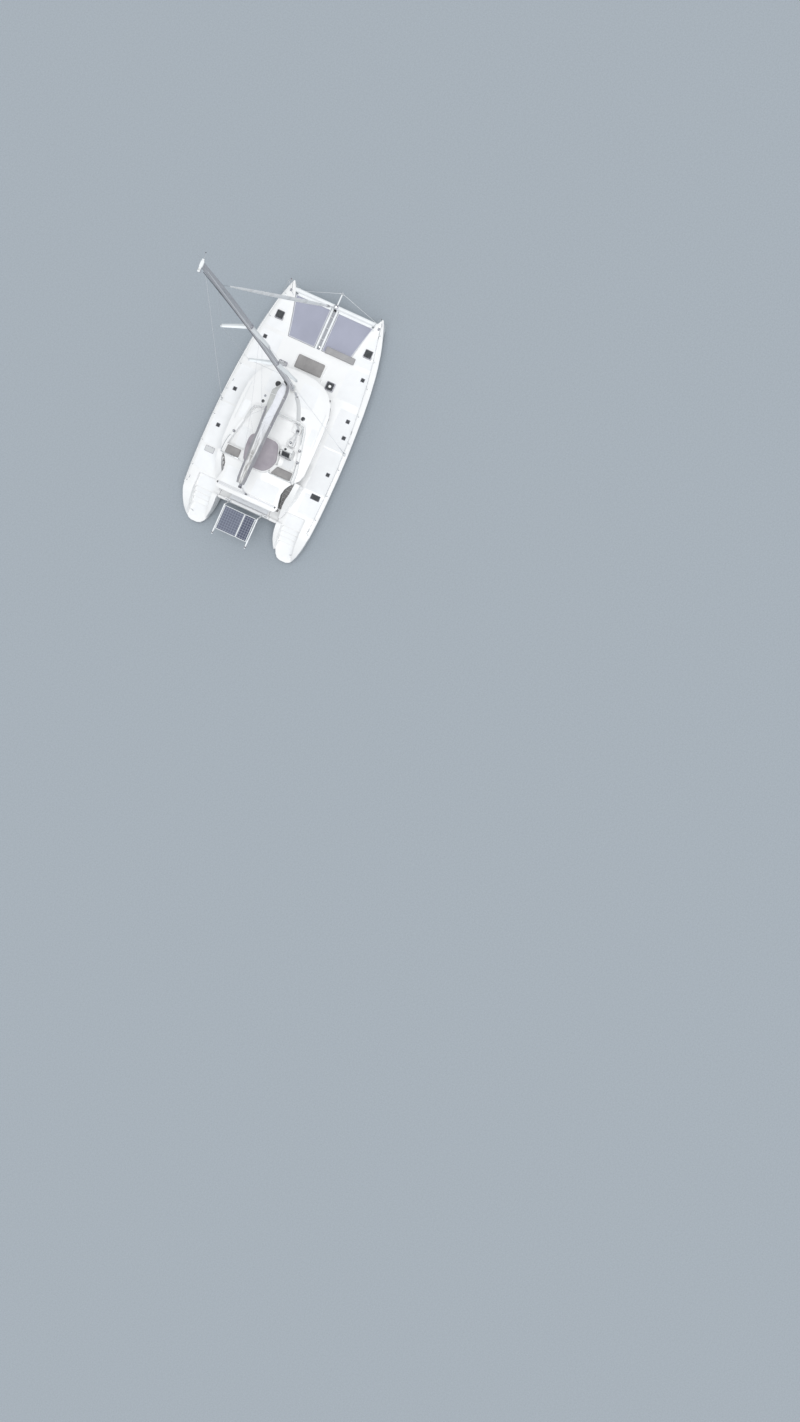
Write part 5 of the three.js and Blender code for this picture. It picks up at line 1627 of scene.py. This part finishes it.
BAG_SECTIONS = [  # x, width, height above the boom's top
    (-4.85, 0.42, 0.23), (-4.65, 0.51, 0.33), (-3.5, 0.59, 0.48), (-1.8, 0.68, 0.7), (-0.3, 0.82, 0.92),
    (0.8, 0.92, 1.13), (1.04, 0.86, 1.22), (1.17, 0.74, 1.2), (1.28, 0.46, 1.12),
]
BAG_STATIONS = [*span(-4.83, 1.03, 74), 1.1, 1.17, 1.22, 1.265]
PICKUPS = (-4.0, -2.2, -0.4)  # where the lazy jacks hold the bag's hem


def drawn_in(x, s):
    """The port wall is drawn in towards the mast at its front end."""
    return 1 - 0.62 * min(1, max(0, (x - 0.78) / 0.3)) if s > 0 else 1


def bag_wall(x, s, across):
    """A place on a bag wall; across runs from the boom, 0, to the hem, 1."""
    width, height = between(BAG_SECTIONS, x)
    slack = 1 - max(math.exp(-(((x - p) / 0.5) ** 2)) for p in PICKUPS)
    belly = 0.018 * slack * math.sin(math.pi * across) * math.sin(x * 9.0)
    y = 0.075 + (width / 2 * drawn_in(x, s) - 0.095) * across ** 0.8 + belly
    z = boom_z(x) + BOOM_HALF[1] - 0.05 + (height * 0.86 + 0.05 - 0.03 * slack) * across
    return Vector((x, s * y, z))


def flake_z(x, t):
    """Height of the stowed sail, its folds deeper towards the boom's end. t runs across it from -1 to 1."""
    height = between(BAG_SECTIONS, x)[1]
    fold = abs(math.sin(4.5 * math.pi * (t + 0.08 * math.sin(1.7 * x) + 0.03 * math.sin(5.1 * x))))
    deep = 0.045 + 0.045 * min(1, max(0, (-1.5 - x) / 1.5))
    ridge = deep * fold + 0.03 * math.sin(2.3 * x + 4 * t) * (1 - t * t)
    return boom_z(x) + BOOM_HALF[1] + height * (0.8 + 0.12 * (1 - t * t)) + ridge - 0.05


def bag_flap(x, s, reach=None):
    """The zip flap: from the hem it lies inwards on the sail, wide on the port side."""
    hem = bag_wall(x, s, 1.0)
    half = between(BAG_SECTIONS, x)[0] / 2 * drawn_in(x, s) - 0.05
    if reach is None:
        reach = (half + 0.05) * (0.3 + 0.4 * min(1, max(0, (x + 0.9) / 0.9))) if s > 0 else 0.14
    flap = []
    for share in span(0.12, 1, 7):
        y = abs(hem.y) - reach * share
        near = [s * min(1, y / half + d) for d in (-0.07, 0, 0.07)]
        flap.append(Vector((x, s * y, max(max(flake_z(x, t) for t in near) + 0.014, hem.z - 0.25 * share))))
    return flap


def webbing(x, s):
    """Section of the webbing along the flap's outer edge."""
    top = [p + UP * 0.018 for p in bag_flap(x, s, 0.115 if s < 0 else 0.09)]
    return [*top, *[p - UP * 0.008 for p in top[::-1]]]


def sail_bag():
    """Two walls of canvas on the boom, closed at the mast, with their flaps and hems."""
    for side, s in SIDES.items():
        rings = []
        for x in BAG_STATIONS:
            up = [bag_wall(x, s, a) for a in span(0, 1, 7)]
            over = bag_flap(x, s)
            under = [p - Vector((0, 0, 0.006)) for p in over[::-1]]
            rings.append([*up, *over, *under, *[p - Vector((0, s * 0.006, 0)) for p in up[::-1]]])
        wall = soft_skin(f"bag_wall_{side}", rings, BAG, "boom_body")
        bag_hem(side)


def bag_hem(side):
    """The hem's roll, the webbing of the zip, the foot's band and eyes for the lazy jacks."""
    s = SIDES[side]
    piece = Piece(f"bag_hem_{side}", "boom_body", "sailcloth")
    top = [bag_wall(x, s, 1.0) for x in [*BAG_STATIONS[:-4:3], *BAG_STATIONS[-4:]]]
    bare = len([p for p in top if p.x < -0.3]) if s > 0 else len(top) - 1
    piece.tube(top[: bare + 1], 0.045, HEM, 8)
    if s > 0:
        piece.tube(top[bare:], 0.026, BAG, 8)
    foot = [bag_wall(x, s, 0.0) + Vector((0, s * 0.004, 0)) for x in BAG_STATIONS[::6]]
    piece.tube(foot, 0.014, HEM, 6)
    piece.skin([webbing(x, s) for x in BAG_STATIONS if s < 0 or x < -0.35], HEM)
    for x in PICKUPS:
        eye = bag_wall(x, s, 1.0) + Vector((0, s * 0.01, -0.01))
        piece.knob(eye, [(0.022, -0.02), (0.03, 0), (0.022, 0.03)], STEEL, 10)
    return piece.done()


def flaked_sail():
    """The stowed mainsail: soft folds along the bag, a little uneven, with three ties."""
    rings = []
    for x in BAG_STATIONS:
        width, height = between(BAG_SECTIONS, x)
        half = width / 2 - 0.05
        under = boom_z(x) + BOOM_HALF[1] + height * 0.3
        swing = 1 - 0.02 * math.sin(7 * x)
        ring = [(x, half * drawn_in(x, t) * t * swing, flake_z(x, t)) for t in span(-1, 1, 29)]
        ring += [(x, half * 0.55 * drawn_in(x, t) * t, under) for t in (0.9, 0.3, -0.3, -0.9)]
        rings.append(ring)
    sail = soft_skin("stowed_mainsail", rings, WEATHERED_FOLD_SHADE_SAIL, "boom_body", "sail_bag")
    ties = Piece("sail_ties", "boom_body", "sailcloth")
    for x in (-3.1, -1.2, 0.5):
        width, height = between(BAG_SECTIONS, x)
        z = boom_z(x) + BOOM_HALF[1] + height * 0.95
        reach = width / 2 - 0.02
        arc = [(reach, z - 0.1), (width / 4, z), (0, z + 0.01), (-width / 4, z), (-reach, z - 0.1)]
        ties.tube(smooth_path([(x, y, up) for y, up in arc], 4), 0.012, HEADSAIL, 6)
    ties.done()


def lazy_jacks():
    """Light lines from the mast to the bag's hem, on both sides."""
    for side, s in SIDES.items():
        piece = Piece(f"lazy_jacks_{side}", None, "steel")
        top = Vector((mast_x(13.5) - 0.12, s * 0.085, 13.5))
        split = Vector((-1.4, s * 0.34, 8.6))
        piece.tube([top.lerp(split, t) for t in span(0, 1, 12)], 0.004, ROPE, 4)
        for x in PICKUPS:
            foot = bag_wall(x, s, 1.0)
            piece.tube([split.lerp(foot, t) for t in span(0, 1, 8)], 0.004, ROPE, 4)
        made = piece.done()
        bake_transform(made)


def mainsheet():
    """A tackle of four parts between the track's car and the boom's end."""
    piece = Piece("mainsheet", None, "steel")
    foot, head = Vector((-5.12, 0, 3.53)), Vector((-4.95, 0, boom_z(-4.95) - 0.2))
    for dy, dx in ((-0.035, -0.02), (0.035, -0.02), (-0.035, 0.03), (0.035, 0.03)):
        start = foot + Vector((dx, dy, 0.05))
        end = head + Vector((dx, dy * 0.8, -0.03))
        piece.tube([start.lerp(end, t) for t in span(0, 1, 14)], 0.006, ROPE, 5)
    made = piece.done()
    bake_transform(made)
    lower = Piece("sheet_block_lower", slot="alloy")
    lower.block((-5.17, -0.06, 3.508), (-5.07, 0.06, 3.6), DARK_ALLOY, 0.015)
    lower.done()
    upper = Piece("sheet_block_upper", "boom_body", "alloy")
    upper.block((-5.0, -0.05, head.z - 0.03), (-4.9, 0.05, head.z + 0.06), DARK_ALLOY, 0.015)
    upper.tube([head + Vector((0, 0, 0.05)), (-4.95, 0, boom_z(-4.95) - 0.15)], 0.012, STEEL)
    upper.done()


def track_gear():
    """End stops and the car's control lines on the mainsheet track."""
    piece = Piece("track_gear", slot="alloy")
    for s in (1, -1):
        low, high = mirrored(s, 1.84, 1.92)
        piece.block((-5.17, low, 3.418), (-5.07, high, 3.48), RUBBER, 0.008)
        for x in (-5.05, -5.19):
            piece.tube([(x, s * 0.09, 3.485), (x, s * 1.86, 3.475)], 0.006, ROPE, 5)
    piece.done()


ROLL = [  # metres up the stay, radius of the rolled sail
    (0.45, 0.036), (1.7, 0.05), (4.0, 0.085), (7.5, 0.109), (13.0, 0.094), (18.5, 0.059), (20.2, 0.028),
]


def furled_headsail():
    """The headsail rolled round its stay, with its sheet's last turns and the line on its drum."""
    foot, head = Vector((BEAM_X, 0, DECK)), Vector((mast_x(STAY_HEAD_Z), 0, STAY_HEAD_Z))
    way = (head - foot).normalized()
    side = way.cross(Vector((0, 1, 0))).normalized()
    other = way.cross(side)

    def round_stay(s, turns, radius):
        """A place beside the stay, s metres up from its foot."""
        t = 2 * math.pi * turns
        return foot + way * s + (side * math.cos(t) + other * math.sin(t)) * radius

    rings = []
    for s in span(0.45, 20.2, 300):
        radius = between(ROLL, s)[0]
        turns = [k / 18 for k in range(18)]
        rings.append([round_stay(s, t, radius * (0.9 + 0.1 * ((t + s / 0.85) % 1.0))) for t in turns])
    sail = soft_skin("rolled_headsail", rings, HEADSAIL, "furled_headsail", "headsail")
    wraps = Piece("headsail_wraps", "furled_headsail", "sailcloth")
    sheet = []
    for k in range(60):
        s = 1.9 + k * 0.012
        sheet.append(round_stay(s, k / 15, between(ROLL, s)[0] + 0.008))
    wraps.tube(sheet, 0.008, DARK_ROPE, 6)
    reel = [round_stay(0.31 + 0.05 * abs(math.sin(k * 0.35)), k / 16, 0.078) for k in range(80)]
    wraps.tube(reel, 0.007, DARK_ROPE, 6)
    wraps.done()


mast_gear()
for name, sign in SIDES.items():
    spreader_gear(sign, name)
    shroud_gear(name)
boom_gear()
sail_bag()
flaked_sail()
lazy_jacks()
mainsheet()
track_gear()
furled_headsail()


# Stern and underwater gear


def panel_frames():
    """Light frames round the solar panels, and their clamps on the davit tubes."""
    piece = Piece("panel_frames", slot="white_alloy")
    for node in ("solar_panel_port", "solar_panel_starboard"):
        low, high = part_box(node)
        outer = rounded(low.x - 0.012, high.x + 0.012, low.y - 0.012, high.y + 0.012, 0.01, 2)
        inner = shrunk(outer, 0.03)
        lip = high.z + 0.004
        levels = [(outer, low.z + 0.001), (outer, lip), (inner, lip), (inner, high.z - 0.002)]
        piece.skin(stack(levels), WHITE_ALLOY, loop=True)
        for x in (-6.26, -7.61):
            for y in (low.y + 0.15, high.y - 0.15):
                clamp_low = (x - 0.04, y - 0.025, low.z - 0.07)
                piece.block(clamp_low, (x + 0.04, y + 0.025, low.z + 0.004), DARK_ALLOY, 0.005)
    piece.done()


def davit_gear():
    """End sheaves and falls of the davits, with collars at the feet."""
    piece = Piece("davit_gear", slot="steel")
    for s in (1, -1):
        y = s * 1.085
        end_cap = [(0.046, 0), (0.05, 0.01), (0.05, 0.06), (0.045, 0.07)]
        piece.knob((-8.02, y, 2.86), end_cap, DARK_ALLOY, 18, (1, 0, 0))
        sheave = [(0.03, -0.05), (0.04, -0.03), (0.04, 0.02), (0.03, 0.05)]
        for x in (-7.9, -6.5):
            piece.knob((x, y, 2.76), sheave, DARK_ALLOY, 14)
        piece.knob((-5.775, y, 2.028), [(0.075, 0), (0.07, 0.015), (0.055, 0.05)], WHITE_ALLOY, 18)
        for dy in (-0.02, 0.02):
            piece.tube([(-7.9, y + dy, 2.72), (-6.5, y + dy, 2.72)], 0.005, ROPE, 5)
    for s in (1, -1):
        cleat(piece, -5.775, s * 1.28, 2.0, 1.57)
    piece.at().done()


def underwater_gear(side):
    """An anode on the drive leg, and the gasket round its top."""
    s = SIDES[side]
    piece = Piece(f"anodes_{side}", slot="antifouling")
    anode = [(0.05, 0), (0.045, 0.012), (0.02, 0.018)]
    piece.knob((-5.0, s * (HULL_Y + 0.055), -0.75), anode, ZINC, 18, (0, s, 0))
    outline = [(x, s * HULL_Y + y) for x, y in rounded(-5.18, -4.66, -0.11, 0.11, 0.09)]
    bottom = hit(f"hull_{side}", (-4.95, s * 3.25, -2), (0, 0, 1))[0].z
    piece.slab(outline, bottom - 0.02, bottom + 0.03, RUBBER, 0.006)
    piece.done()


def propeller_gear(side):
    """The anode at the tail of a propeller."""
    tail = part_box(f"propeller_{side}")[0].x - 0.001
    piece = Piece(f"propeller_cone_{side}", f"propeller_{side}_body", "bronze")
    cone = [(0.04, 0), (0.036, 0.02), (0.015, 0.05)]
    piece.knob((tail, SIDES[side] * HULL_Y, -1.0), cone, ZINC, 18, (-1, 0, 0))
    piece.done()


panel_frames()
davit_gear()
for name in SIDES:
    underwater_gear(name)
    propeller_gear(name)
